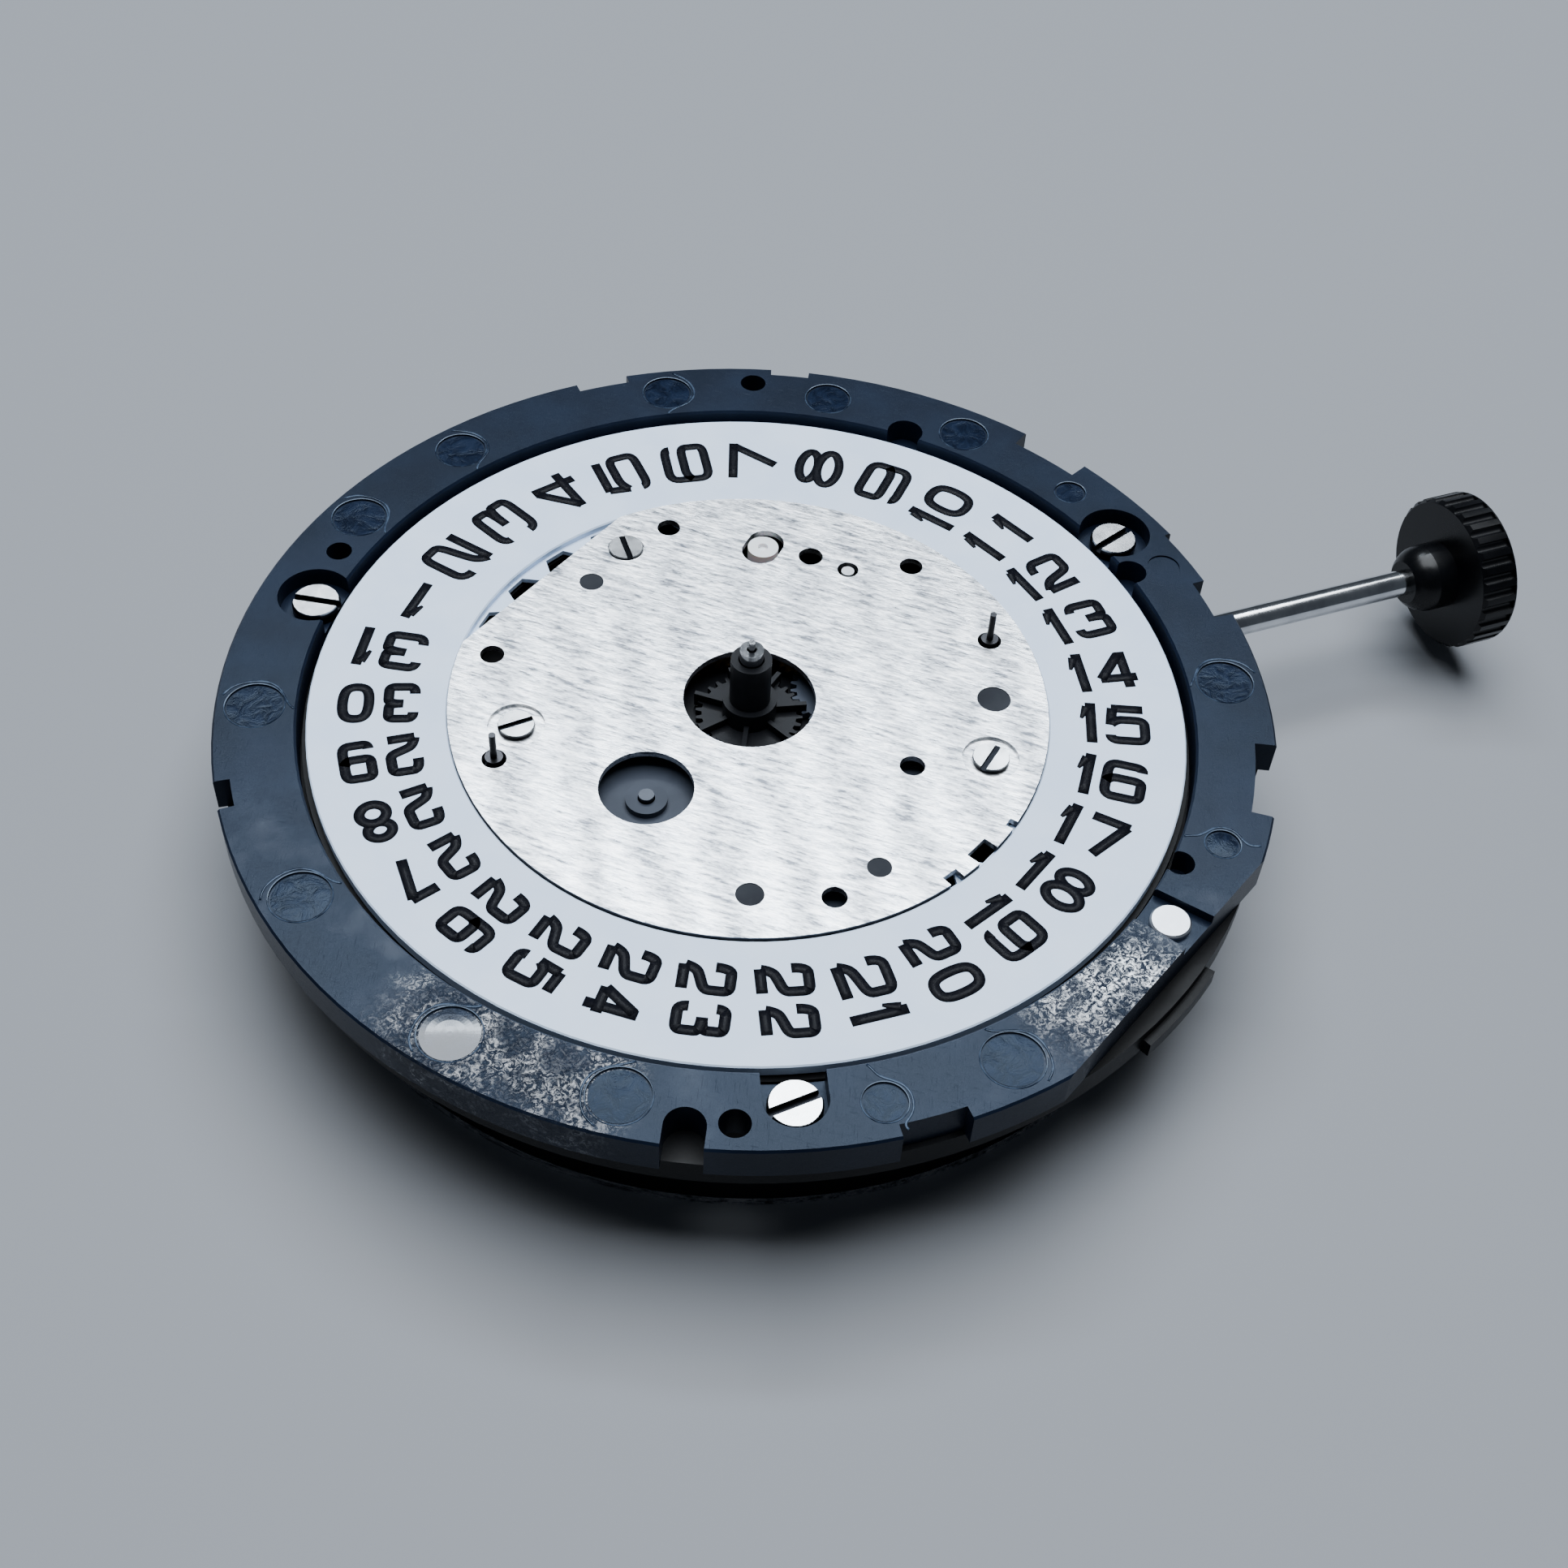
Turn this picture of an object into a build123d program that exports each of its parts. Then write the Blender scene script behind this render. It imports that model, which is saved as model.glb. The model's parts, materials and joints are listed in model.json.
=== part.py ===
from build123d import *
from math import acos, atan2, cos, degrees, hypot, radians, sin
import os

# Quartz chronograph watch movement with a date ring, a 24-hour post and a minute counter post.
# Millimetres. +Z towards the dial, +X towards 3 o'clock and the crown, origin on the hand axis
# at the back face.

os.makedirs("parts", exist_ok=True)

# ---- overall sizes ----
ring_outer_r = 15.4
ring_inner_r = 13.05
flange_r = 15.15
body_r = 13.9
cavity_r = 12.9
well_r = 8.65
guard_r = 8.78

# ---- heights above the back face ----
cover_t = 0.3
web_bottom = 3.0
web_top = 3.4
flange_bottom = 3.2
ring_bottom = 4.0
shelf_top = 4.47
ring_top = 5.1
guard_t = 0.2
guard_top = 5.0
guard_bottom = guard_top - guard_t
post_foot = guard_top + 0.1
date_bottom = 4.55
date_top = 4.9
tooth_top = 4.7
stem_z = 3.05

# ---- hand posts ----
hour_post_r = 0.6
hour_post_top = 6.6
minute_post_r = 0.35
minute_post_top = 7.0
second_post_r = 0.1
second_post_top = 7.3
counter_post_r = 0.1
hour_hub_r = hour_post_r + 0.2
counter_hub_r = counter_post_r + 0.16
cannon_r = minute_post_r + 0.11
day_post_top = 6.1
minute_counter_top = 6.0
counter_at = 7.7

# ---- clearances ----
play = 0.03
gap = 0.1
tooth_play = 0.18

# ---- gear modules and tooth counts ----
train_module = 0.09
chrono_module = 0.112
motion_module = 0.1
setting_module = 0.125
wheel_t = 0.14
arbor_r = 0.12
post_r = 0.22

rotor_teeth = 8
fifth_teeth, fifth_pinion = 48, 12
fourth_teeth, fourth_pinion = 60, 8
third_teeth, third_pinion = 60, 8
centre_teeth = 64
transfer_teeth, transfer_pinion = 48, 12
seconds_teeth, seconds_pinion = 60, 8
idler_teeth, idler_pinion = 60, 8
counter_teeth = 64
cannon_teeth = 12
minute_teeth, minute_pinion = 36, 12
hour_teeth, hour_small_teeth = 48, 30
day_idler_teeth, day_teeth = 32, 60
date_idler_teeth, date_drive_teeth = 62, 60
setting_teeth = 18

# ---- train levels between the bridge and the web ----
bridge_bottom, bridge_top = 0.8, 1.2
level_pitch = 0.26
first_level = 1.36


def level(number):
    return first_level + (number - 1) * level_pitch


# ---- dial side levels between the web and the guard ----
setting_level = 3.5
hour_level = 3.9
day_level = 4.15
day_wheel_t = 0.2
keyless_level = 3.63
keyless_t = 0.19

# ---- battery ----
battery_r = 3.95
battery_t = 2.6
battery_at_r, battery_at_angle = 8.59, -104.8

# ---- stem and crown ----
stem_r = 0.43
neck_r = 0.25
pilot_r = 0.18
square_side = 0.5
stem_travel = 0.9
stem_inner_end = 3.5
pilot_end = 5.4
square_end = 8.6
groove_x = 9.9
groove_half = 0.35
crown_start = 22.85
hub_end = 24.2
crown_end = 25.8
crown_r = 2.5
hub_r = 1.1
flutes = 30
flute_r = 0.17
clutch_in, clutch_out = 5.6, 6.8
clutch_r = 0.8

# ---- screws ----
ring_screw_r = 0.73
guard_screw_r = 0.54
small_screw_r = 0.42
screw_shaft_r = 0.3

# ---- date ring ----
date_outer_r = cavity_r - gap
date_face_r = 8.8
date_tip_r = counter_at + counter_hub_r + 0.05
date_days = 31


def polar(radius, angle, centre=(0, 0)):
    """Point at a radius and an angle in degrees from a centre."""
    return (centre[0] + radius * cos(radians(angle)), centre[1] + radius * sin(radians(angle)))


def mesh_distance(teeth_a, teeth_b, module):
    """Centre distance of two wheels that mesh."""
    return module * (teeth_a + teeth_b) / 2


def circle_meet(centre_a, radius_a, centre_b, radius_b, side):
    """Point at radius_a from centre_a and radius_b from centre_b, to one side of the line."""
    span = hypot(centre_b[0] - centre_a[0], centre_b[1] - centre_a[1])
    toward = degrees(atan2(centre_b[1] - centre_a[1], centre_b[0] - centre_a[0]))
    swing = degrees(acos((radius_a**2 + span**2 - radius_b**2) / (2 * radius_a * span)))
    return polar(radius_a, toward + side * swing, centre_a)


def direction(start, end):
    """Angle in degrees from one point to another."""
    return degrees(atan2(end[1] - start[1], end[0] - start[0]))


def mesh_turn(teeth_a, turn_a, toward, teeth_b):
    """Turn of wheel b that puts a gap of it opposite the teeth of wheel a."""
    return toward + 180 + 360 / teeth_b * (0.5 - (turn_a - toward) * teeth_a / 360)


def tooth_outline(centre, teeth, module, turn):
    """Corners of a toothed outline with slim straight-sided teeth."""
    pitch_r = module * teeth / 2
    pitch = 360 / teeth
    corners = []
    for number in range(teeth):
        middle = turn + number * pitch
        root_half = pitch * (0.37 - tooth_play / 2)
        tip_half = pitch * (0.22 - tooth_play / 2)
        corners.append(polar(pitch_r - module, middle - root_half, centre))
        corners.append(polar(pitch_r + 0.8 * module, middle - tip_half, centre))
        corners.append(polar(pitch_r + 0.8 * module, middle + tip_half, centre))
        corners.append(polar(pitch_r - module, middle + root_half, centre))
    return corners


def toothed(centre, teeth, module, turn, bottom, height):
    """Adds a toothed disc to the part being built."""
    with BuildSketch(Plane.XY.offset(bottom)) as outline:
        with BuildLine():
            Polyline(*tooth_outline(centre, teeth, module, turn), close=True)
        make_face()
    extrude(outline.sketch, amount=height)


def disc(centre, radius, bottom, top, mode=Mode.ADD):
    """Adds or cuts a round step between two heights."""
    with BuildSketch(Plane.XY.offset(bottom)) as outline:
        with Locations(centre):
            Circle(radius)
    extrude(outline.sketch, amount=top - bottom, mode=mode)


def block(centre, width, depth, bottom, top, angle=0, mode=Mode.ADD):
    """Adds or cuts a rectangular block between two heights, turned by an angle."""
    with BuildSketch(Plane.XY.offset(bottom)) as outline:
        with Locations(Location((centre[0], centre[1], 0), angle)):
            Rectangle(width, depth)
    extrude(outline.sketch, amount=top - bottom, mode=mode)


def slot(start, end, width, bottom, top, mode=Mode.ADD):
    """Adds or cuts a round-ended bar from one point to another."""
    middle = ((start[0] + end[0]) / 2, (start[1] + end[1]) / 2, 0)
    span = hypot(end[0] - start[0], end[1] - start[1])
    with BuildSketch(Plane.XY.offset(bottom)) as outline:
        with Locations(Location(middle, direction(start, end))):
            SlotCenterToCenter(span, width)
    extrude(outline.sketch, amount=top - bottom, mode=mode)


def sector(inner_r, outer_r, first, last, bottom, top, mode=Mode.ADD):
    """Adds or cuts a piece of a ring between two angles."""
    with BuildSketch(Plane.XY.offset(bottom)) as outline:
        with BuildLine():
            CenterArc((0, 0), inner_r, first, last - first)
            Line(polar(inner_r, last), polar(outer_r, last))
            CenterArc((0, 0), outer_r, last, first - last)
            Line(polar(outer_r, first), polar(inner_r, first))
        make_face()
    extrude(outline.sketch, amount=top - bottom, mode=mode)


def outline_plate(corners, bottom, top, radius=0.0):
    """Adds a plate with straight sides and rounded corners."""
    with BuildSketch(Plane.XY.offset(bottom)) as outline:
        with BuildLine():
            Polyline(*corners, close=True)
        make_face()
        if radius:
            fillet(outline.vertices(), radius)
    extrude(outline.sketch, amount=top - bottom)


def rod(radius, start, end, mode=Mode.ADD):
    """Adds or cuts a round step along the stem's axis."""
    with BuildSketch(Plane(origin=(start, 0, stem_z), x_dir=(0, 1, 0), z_dir=(1, 0, 0))) as outline:
        Circle(radius)
    extrude(outline.sketch, amount=end - start, mode=mode)


def slotted_head(centre, radius, bottom, height, slot_angle):
    """Adds a screw head with a bevelled rim and a driver slot."""
    disc(centre, radius, bottom, bottom + height * 0.7)
    with BuildSketch(Plane.XY.offset(bottom + height * 0.7)) as rim:
        with Locations(centre):
            Circle(radius)
    extrude(rim.sketch, amount=height * 0.3, taper=25)
    block(centre, 3 * radius, radius * 0.34, bottom + height * 0.5, bottom + 2 * height, slot_angle,
          Mode.SUBTRACT)


def finish(piece, label):
    """Names a finished piece and writes it."""
    piece.part.label = label
    export_step(piece.part, f"parts/{label}.step")


# ---- where each axis stands ----
centre = (0, 0)
battery_at = polar(battery_at_r, battery_at_angle)
third_at = polar(mesh_distance(centre_teeth, third_pinion, train_module), 100)
fourth_at = polar(mesh_distance(third_teeth, fourth_pinion, train_module), 140, third_at)
fifth_at = polar(mesh_distance(fourth_teeth, fifth_pinion, train_module), 150, fourth_at)
rotor_at = polar(mesh_distance(fifth_teeth, rotor_teeth, train_module), 45, fifth_at)
transfer_at = polar(mesh_distance(seconds_teeth, transfer_pinion, train_module), 35)
chrono_rotor_at = polar(mesh_distance(transfer_teeth, rotor_teeth, train_module), 55, transfer_at)
minute_counter_at = (-counter_at, 0)
day_at = (counter_at, 0)
idler_at = circle_meet(centre, mesh_distance(seconds_pinion, idler_teeth, chrono_module),
                       minute_counter_at, mesh_distance(idler_pinion, counter_teeth, chrono_module), -1)
setting_at = (4.3, 0.9)
minute_at = circle_meet(centre, mesh_distance(cannon_teeth, minute_teeth, setting_module),
                        setting_at, mesh_distance(minute_teeth, setting_teeth, setting_module), 1)
day_idler_at = (mesh_distance(hour_small_teeth, day_idler_teeth, motion_module), 0)
date_idler_at = polar(mesh_distance(hour_small_teeth, date_idler_teeth, motion_module), -149)
date_drive_r = 5.4
date_drive_at = circle_meet(centre, date_drive_r, date_idler_at,
                            mesh_distance(date_idler_teeth, date_drive_teeth, motion_module), 1)
lever_at = (groove_x + stem_travel / 2, 2.4)
lever_pocket_at = (lever_at[0] - 0.45, 1.3)
lever_pocket_length = 3.4
lever_pocket_width = 4.0
lever_clear = 0.08
stem_block_at = (4.4, 0)
stem_block_length = 1.6
stem_block_width = 1.2
stem_block_drop = 0.45
yoke_at = (7.6, -2.7)
start_lever_at = polar(11.9, 50)
reset_lever_at = polar(11.9, -50)
lever_tab_r = 14.27
lever_tab_angle = 30

# ---- positions on the guard and the ring ----
guard_screw_at = [(-1.5, 7.25), (5.79, -4.39), (-6.75, 1.07)]
guard_slot_angle = [88, 40, 5]
stud_at = (2.6, 6.0)
stud_r = 0.48
banking_at = (4.76, 4.22)
guard_nicks = [(8.6, -61, 0.55, 0.8), (8.65, -69.5, 0.4, 0.5), (8.7, -52, 0.3, 0.3)]
guard_plug_spots = [((-2.96, 6.12), 0.37), ((6.83, -2.28), 0.5), ((1.22, -7.12), 0.35),
                    ((-2.47, -6.88), 0.4)]
guard_hole_spots = [((0.07, 7.74), 0.36), ((3.87, 5.14), 0.38), ((6.7, 3.76), 0.36), ((3.52, -3.96), 0.37),
                    ((-0.33, -7.7), 0.36), ((-6.66, 4.03), 0.36), (day_at, 0.36), (minute_counter_at, 0.36)]
guard_centre_hole = 1.95
ring_screw_at = [polar(13.83, 13.1), polar(13.67, 144.1), polar(13.86, 255)]
ring_slot_angle = [20, 150, 5]
screw_pocket_r = 1.12
ring_pits = [(polar(13.27, 47.4), 0.58), (polar(13.19, 5.8), 0.5), (polar(13.3, -46.6), 0.42)]
pit_floor_t = 0.3
ring_notch_length = 1.6
ring_notch_width = 1.7
cover_screw_r = 13.4
cover_screw_angles = [45, 135, 205, 315]
dial_foot_at = [polar(14.58, 69.8), polar(14.58, 248.8)]
dial_foot_r = 0.42
rivet_at = polar(13.87, -54.6)
rivet_r = 0.57
bridge_screw_at = [(-9.6, 4.2), (0.6, 7.2), (1.2, -4.0)]
clamp_angle = battery_at_angle + 90
clamp_reach = battery_r + 0.9
clamp_screw_at = [polar(clamp_reach, clamp_angle, battery_at),
                  polar(-clamp_reach, clamp_angle, battery_at)]

# ---- turns of the toothed wheels, so that teeth stand opposite gaps ----
minute_turn = mesh_turn(cannon_teeth, 0, direction(centre, minute_at), minute_teeth)
minute_pinion_turn = mesh_turn(hour_teeth, 0, direction(centre, minute_at), minute_pinion)
setting_turn = mesh_turn(minute_teeth, minute_turn, direction(minute_at, setting_at), setting_teeth)
day_idler_turn = mesh_turn(hour_small_teeth, 0, 0, day_idler_teeth)
day_turn = mesh_turn(day_idler_teeth, day_idler_turn, 0, day_teeth)
date_idler_turn = mesh_turn(hour_small_teeth, 0, direction(centre, date_idler_at), date_idler_teeth)
date_drive_turn = mesh_turn(date_idler_teeth, date_idler_turn, direction(date_idler_at, date_drive_at),
                            date_drive_teeth)
third_pinion_turn = mesh_turn(centre_teeth, 0, direction(centre, third_at), third_pinion)
fourth_pinion_turn = mesh_turn(third_teeth, 0, direction(third_at, fourth_at), fourth_pinion)
fifth_pinion_turn = mesh_turn(fourth_teeth, 0, direction(fourth_at, fifth_at), fifth_pinion)
rotor_turn = mesh_turn(fifth_teeth, 0, direction(fifth_at, rotor_at), rotor_teeth)
transfer_pinion_turn = mesh_turn(seconds_teeth, 0, direction(centre, transfer_at), transfer_pinion)
chrono_rotor_turn = mesh_turn(transfer_teeth, 0, direction(transfer_at, chrono_rotor_at), rotor_teeth)
idler_turn = mesh_turn(seconds_pinion, 0, direction(centre, idler_at), idler_teeth)
counter_turn = mesh_turn(idler_pinion, 0, direction(idler_at, minute_counter_at), counter_teeth)

# ---- main plate ----
boss_r = 0.75
guard_boss_r = 0.55
battery_wall = 0.2
lever_window = (24.5, 38.0)
lever_pocket_r = 13.6
lever_level = 2.45
lever_t = 0.3
lever_peg_r = 0.25
pivot_boss_r = 0.7
with BuildPart() as main_plate:
    disc(centre, body_r, cover_t, ring_bottom)
    disc(centre, flange_r, flange_bottom, ring_bottom)
    disc(centre, ring_inner_r - gap, ring_bottom, shelf_top)
    disc(centre, cavity_r, cover_t, web_bottom, Mode.SUBTRACT)
    disc(centre, well_r, web_top, shelf_top, Mode.SUBTRACT)
    # wall round the battery and pillars for the clamp and the bridge
    disc(battery_at, battery_r + play + battery_wall, cover_t, web_bottom)
    for spot in clamp_screw_at:
        disc(spot, boss_r, cover_t, web_bottom)
        disc(spot, screw_shaft_r, cover_t, web_bottom, Mode.SUBTRACT)
    disc(battery_at, battery_r + play, cover_t, web_bottom, Mode.SUBTRACT)
    for spot in bridge_screw_at:
        disc(spot, boss_r, bridge_top, web_bottom)
        disc(spot, screw_shaft_r, bridge_top, web_bottom, Mode.SUBTRACT)
    # pillars that carry the guard
    for spot in guard_screw_at:
        disc(spot, guard_boss_r, web_top, guard_bottom)
        disc(spot, screw_shaft_r, web_top + gap, guard_bottom, Mode.SUBTRACT)
    # 24-hour wheel: pivot boss and sunk pocket under the date ring
    disc(day_at, pivot_boss_r, web_top, hour_level)
    disc(day_at, mesh_distance(day_teeth, 4, motion_module), hour_level + 0.05, shelf_top, Mode.SUBTRACT)
    disc(day_at, arbor_r + play, stem_z + 0.55, hour_level, Mode.SUBTRACT)
    # bearing block and tunnel for the stem
    block(stem_block_at, stem_block_length, stem_block_width, stem_z - stem_block_drop, web_top)
    rod(pilot_r + play, stem_inner_end - 0.2, clutch_in, Mode.SUBTRACT)
    rod(stem_r + play + 0.02, clutch_out, cavity_r, Mode.SUBTRACT)
    rod(stem_r + play, cavity_r, flange_r + 1, Mode.SUBTRACT)
    block(((clutch_in + clutch_out) / 2, 0), clutch_out - clutch_in + 3 * gap, 2 * (clutch_r + gap),
          stem_z - clutch_r - gap, stem_z + clutch_r + gap, 0, Mode.SUBTRACT)
    # pocket for the setting lever
    block(lever_pocket_at, lever_pocket_length, lever_pocket_width, keyless_level - lever_clear, shelf_top,
          0, Mode.SUBTRACT)
    # bearings in the web
    disc(centre, cannon_r + play, web_bottom, web_top, Mode.SUBTRACT)
    disc(minute_counter_at, arbor_r + play, web_bottom, web_top, Mode.SUBTRACT)
    for spot in (third_at, fourth_at, fifth_at, rotor_at, transfer_at, chrono_rotor_at, idler_at):
        disc(spot, arbor_r + play, web_bottom, web_bottom + 0.25, Mode.SUBTRACT)
    # pegs for the two switch levers, and windows that their tabs reach through
    for peg, first in ((start_lever_at, lever_window[0]), (reset_lever_at, -lever_window[1])):
        last = first + lever_window[1] - lever_window[0]
        disc(peg, lever_peg_r, lever_level - gap, web_bottom)
        sector(cavity_r - gap, lever_pocket_r, first - 6, last + 6, lever_level - gap, web_bottom,
               Mode.SUBTRACT)
        sector(lever_pocket_r, flange_r + gap, first, last, lever_level - gap, ring_bottom, Mode.SUBTRACT)
    # holes for the ring screws, dial feet and cover screws
    for spot in ring_screw_at:
        disc(spot, screw_shaft_r, flange_bottom + gap, ring_bottom, Mode.SUBTRACT)
    for spot in dial_foot_at:
        disc(spot, dial_foot_r, flange_bottom - gap, ring_bottom, Mode.SUBTRACT)
    for angle in cover_screw_angles:
        disc(polar(cover_screw_r, angle), screw_shaft_r * 0.8, cover_t, 1.6, Mode.SUBTRACT)
    # grip lug beyond the flat of the spacer ring
    sector(flange_r - gap, ring_outer_r, -66, -54, flange_bottom, flange_bottom + 0.5)
finish(main_plate, "main_plate")

# ---- black spacer ring ----
# each notch: first angle, last angle, radius of its floor
rim_notches = [(86, 92.5, 15.0), (62.7, 67.5, 15.07), (24.5, 33.5, 14.7), (-5, 1, 14.75), (1, 9.6, 15.15),
               (-35.9, -25.5, 14.75), (264.5, 271.5, 15.0), (174.4, 178.3, 14.93)]
# each round mark: radius of its centre, angle, its own radius
mould_marks = [(14.25, 163.6, 0.85), (14.25, 193.2, 0.85), (14.25, 218, 0.85), (14.2, 237, 0.85),
               (14.3, 263.9, 0.6), (14.25, 278.3, 0.85), (14.2, 344.2, 0.85), (14.2, 318.3, 0.5),
               (14.2, 111.5, 0.8), (14.25, 129.3, 0.85), (14.2, 81.5, 0.8), (14.1, 59.5, 0.75),
               (14.1, 40, 0.8), (14.0, 22.4, 0.5), (14.3, 5, 0.5)]
mark_depth = 0.05
flat_distance = 14.65
flat_angle = -60
ring_head_t = 0.38
pocket_floor = ring_top - 0.6
with BuildPart() as spacer_ring:
    disc(centre, ring_outer_r, ring_bottom, ring_top)
    disc(centre, ring_inner_r, ring_bottom, ring_top, Mode.SUBTRACT)
    chamfer(spacer_ring.edges().filter_by(GeomType.CIRCLE).group_by(Axis.Z)[-1], 0.06)
    for first, last, floor in rim_notches:
        sector(floor, ring_outer_r + gap, first, last, ring_bottom, ring_top, Mode.SUBTRACT)
    block(polar(flat_distance + 1, flat_angle), 2, 14, ring_bottom, ring_top, flat_angle, Mode.SUBTRACT)
    slot(polar(14.75, 244), polar(16.5, 244), 1.1, ring_bottom, ring_top, Mode.SUBTRACT)
    disc(polar(13.9, 135.8), 0.39, ring_bottom, ring_top, Mode.SUBTRACT)
    for spot in dial_foot_at:
        disc(spot, dial_foot_r, ring_bottom, ring_top, Mode.SUBTRACT)
    for spot, radius in ring_pits:
        disc(spot, radius, ring_bottom + pit_floor_t, ring_top, Mode.SUBTRACT)
    for spot, radius in zip(ring_screw_at, (screw_pocket_r, screw_pocket_r, 0.86)):
        disc(spot, radius, pocket_floor, ring_top, Mode.SUBTRACT)
        disc(spot, screw_shaft_r + play, ring_bottom, ring_top, Mode.SUBTRACT)
    block(polar(13.2, 255), ring_notch_length, ring_notch_width, pocket_floor, ring_top, 255, Mode.SUBTRACT)
    sector(ring_inner_r - gap, ring_outer_r + gap, -57.3, -51.8, ring_top - 0.3, ring_top, Mode.SUBTRACT)
    disc(rivet_at, 0.3, ring_bottom, ring_top, Mode.SUBTRACT)
    for radius, angle, own_r in mould_marks:
        disc(polar(radius, angle), own_r, ring_top - mark_depth, ring_top, Mode.SUBTRACT)
finish(spacer_ring, "spacer_ring")

with BuildPart() as ring_screws:
    for spot, angle in zip(ring_screw_at, ring_slot_angle):
        disc(spot, screw_shaft_r, flange_bottom + 2 * gap, pocket_floor)
        slotted_head(spot, ring_screw_r, pocket_floor, ring_head_t, angle)
finish(ring_screws, "ring_screws")

with BuildPart() as ring_rivet:
    disc(rivet_at, 0.3, ring_bottom, ring_top - 0.3)
    disc(rivet_at, rivet_r, ring_top - 0.3, ring_top - 0.12)
    chamfer(ring_rivet.edges().group_by(Axis.Z)[-1], 0.05)
finish(ring_rivet, "ring_rivet")

# ---- date ring ----
with BuildPart() as date_ring:
    disc(centre, date_outer_r, date_bottom, date_top)
    disc(centre, date_face_r, date_bottom, date_top, Mode.SUBTRACT)
    with BuildSketch(Plane.XY.offset(date_bottom)) as saw_teeth:
        Circle(date_face_r + gap)
        with BuildLine():
            corners = []
            for day in range(date_days):
                middle = (day + 0.37) * 360 / date_days
                corners.append(polar(date_tip_r, middle - 0.6))
                corners.append(polar(date_tip_r, middle + 0.6))
                corners.append(polar(date_face_r - gap, middle + 3.6))
                corners.append(polar(date_face_r - gap, middle + 8.2))
            Polyline(*corners, close=True)
        make_face(mode=Mode.SUBTRACT)
    extrude(saw_teeth.sketch, amount=tooth_top - date_bottom)
    chamfer(date_ring.edges().filter_by(GeomType.CIRCLE).group_by(Axis.Z)[-1], 0.04)
finish(date_ring, "date_ring")

# ---- date guard ----
dish_r = 0.83
dish_depth = 0.1
window_r = 1.36
chord_distance = 8.0
chord_angle = 122.5
with BuildPart() as date_guard:
    disc(centre, guard_r, guard_bottom, guard_top)
    disc(centre, guard_centre_hole, guard_bottom, guard_top, Mode.SUBTRACT)
    disc(date_idler_at, window_r, guard_bottom, guard_top, Mode.SUBTRACT)
    for spot, radius in guard_hole_spots + guard_plug_spots:
        disc(spot, radius, guard_bottom, guard_top, Mode.SUBTRACT)
    disc(banking_at, 0.33, guard_bottom, guard_top, Mode.SUBTRACT)
    slot(polar(0.2, 45, stud_at), polar(-0.2, 45, stud_at), 1.15, guard_bottom, guard_top, Mode.SUBTRACT)
    for spot, radius in zip(guard_screw_at, (guard_screw_r + play, dish_r, dish_r)):
        disc(spot, radius, guard_top - dish_depth, guard_top, Mode.SUBTRACT)
        disc(spot, screw_shaft_r + play, guard_bottom, guard_top, Mode.SUBTRACT)
    block(polar(chord_distance + 1, chord_angle), 2, 8, guard_bottom, guard_top, chord_angle, Mode.SUBTRACT)
    for reach, angle, depth, width in guard_nicks:
        block(polar(reach, angle), depth, width, guard_bottom, guard_top, angle, Mode.SUBTRACT)
finish(date_guard, "date_guard")

with BuildPart() as guard_screws:
    for spot, angle in zip(guard_screw_at, guard_slot_angle):
        disc(spot, screw_shaft_r, web_top + 2 * gap, guard_top - dish_depth)
        slotted_head(spot, guard_screw_r, guard_top - dish_depth, 0.17, angle)
finish(guard_screws, "guard_screws")

with BuildPart() as guard_plugs:
    for spot, radius in guard_plug_spots:
        disc(spot, radius, guard_bottom, guard_top - 0.03)
finish(guard_plugs, "guard_plugs")

with BuildPart() as locating_stud:
    disc(stud_at, stud_r, web_top, guard_top)
    disc(stud_at, 0.16, guard_top - 0.12, guard_top, Mode.SUBTRACT)
finish(locating_stud, "locating_stud")

with BuildPart() as banking_pin:
    disc(banking_at, 0.2, web_top, guard_top - 0.05)
finish(banking_pin, "banking_pin")

# ---- posts that the dial side wheels and levers turn on ----
with BuildPart() as wheel_posts:
    disc(minute_at, post_r, web_top, hour_level + 0.25)
    disc(setting_at, post_r, web_top, hour_level + 0.05)
    disc(day_idler_at, post_r, web_top, guard_bottom - gap)
    disc(date_idler_at, post_r, web_top, guard_bottom - gap)
    disc(date_drive_at, post_r, web_top, guard_bottom - gap)
    disc(lever_at, post_r, keyless_level - 0.08, keyless_level + keyless_t + gap)
    disc(yoke_at, post_r, web_top, keyless_level + keyless_t + gap)
finish(wheel_posts, "wheel_posts")

# ---- hand setting wheels ----
with BuildPart() as minute_pipe:
    disc(centre, 0.4, level(6) - 0.06, web_bottom)
    disc(centre, cannon_r, web_bottom, web_top)
    toothed(centre, cannon_teeth, setting_module, 0, web_top + 0.05, hour_level - web_top - 0.1)
    disc(centre, minute_post_r, web_top, minute_post_top)
    disc(centre, second_post_r + 1.5 * play, level(6) - gap, minute_post_top + gap, Mode.SUBTRACT)
finish(minute_pipe, "minute_pipe")

with BuildPart() as minute_wheel:
    toothed(minute_at, minute_teeth, setting_module, minute_turn, setting_level, 0.15)
    toothed(minute_at, minute_pinion, motion_module, minute_pinion_turn, setting_level, 0.57)
    disc(minute_at, post_r + play, setting_level, day_level, Mode.SUBTRACT)
finish(minute_wheel, "minute_wheel")

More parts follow.
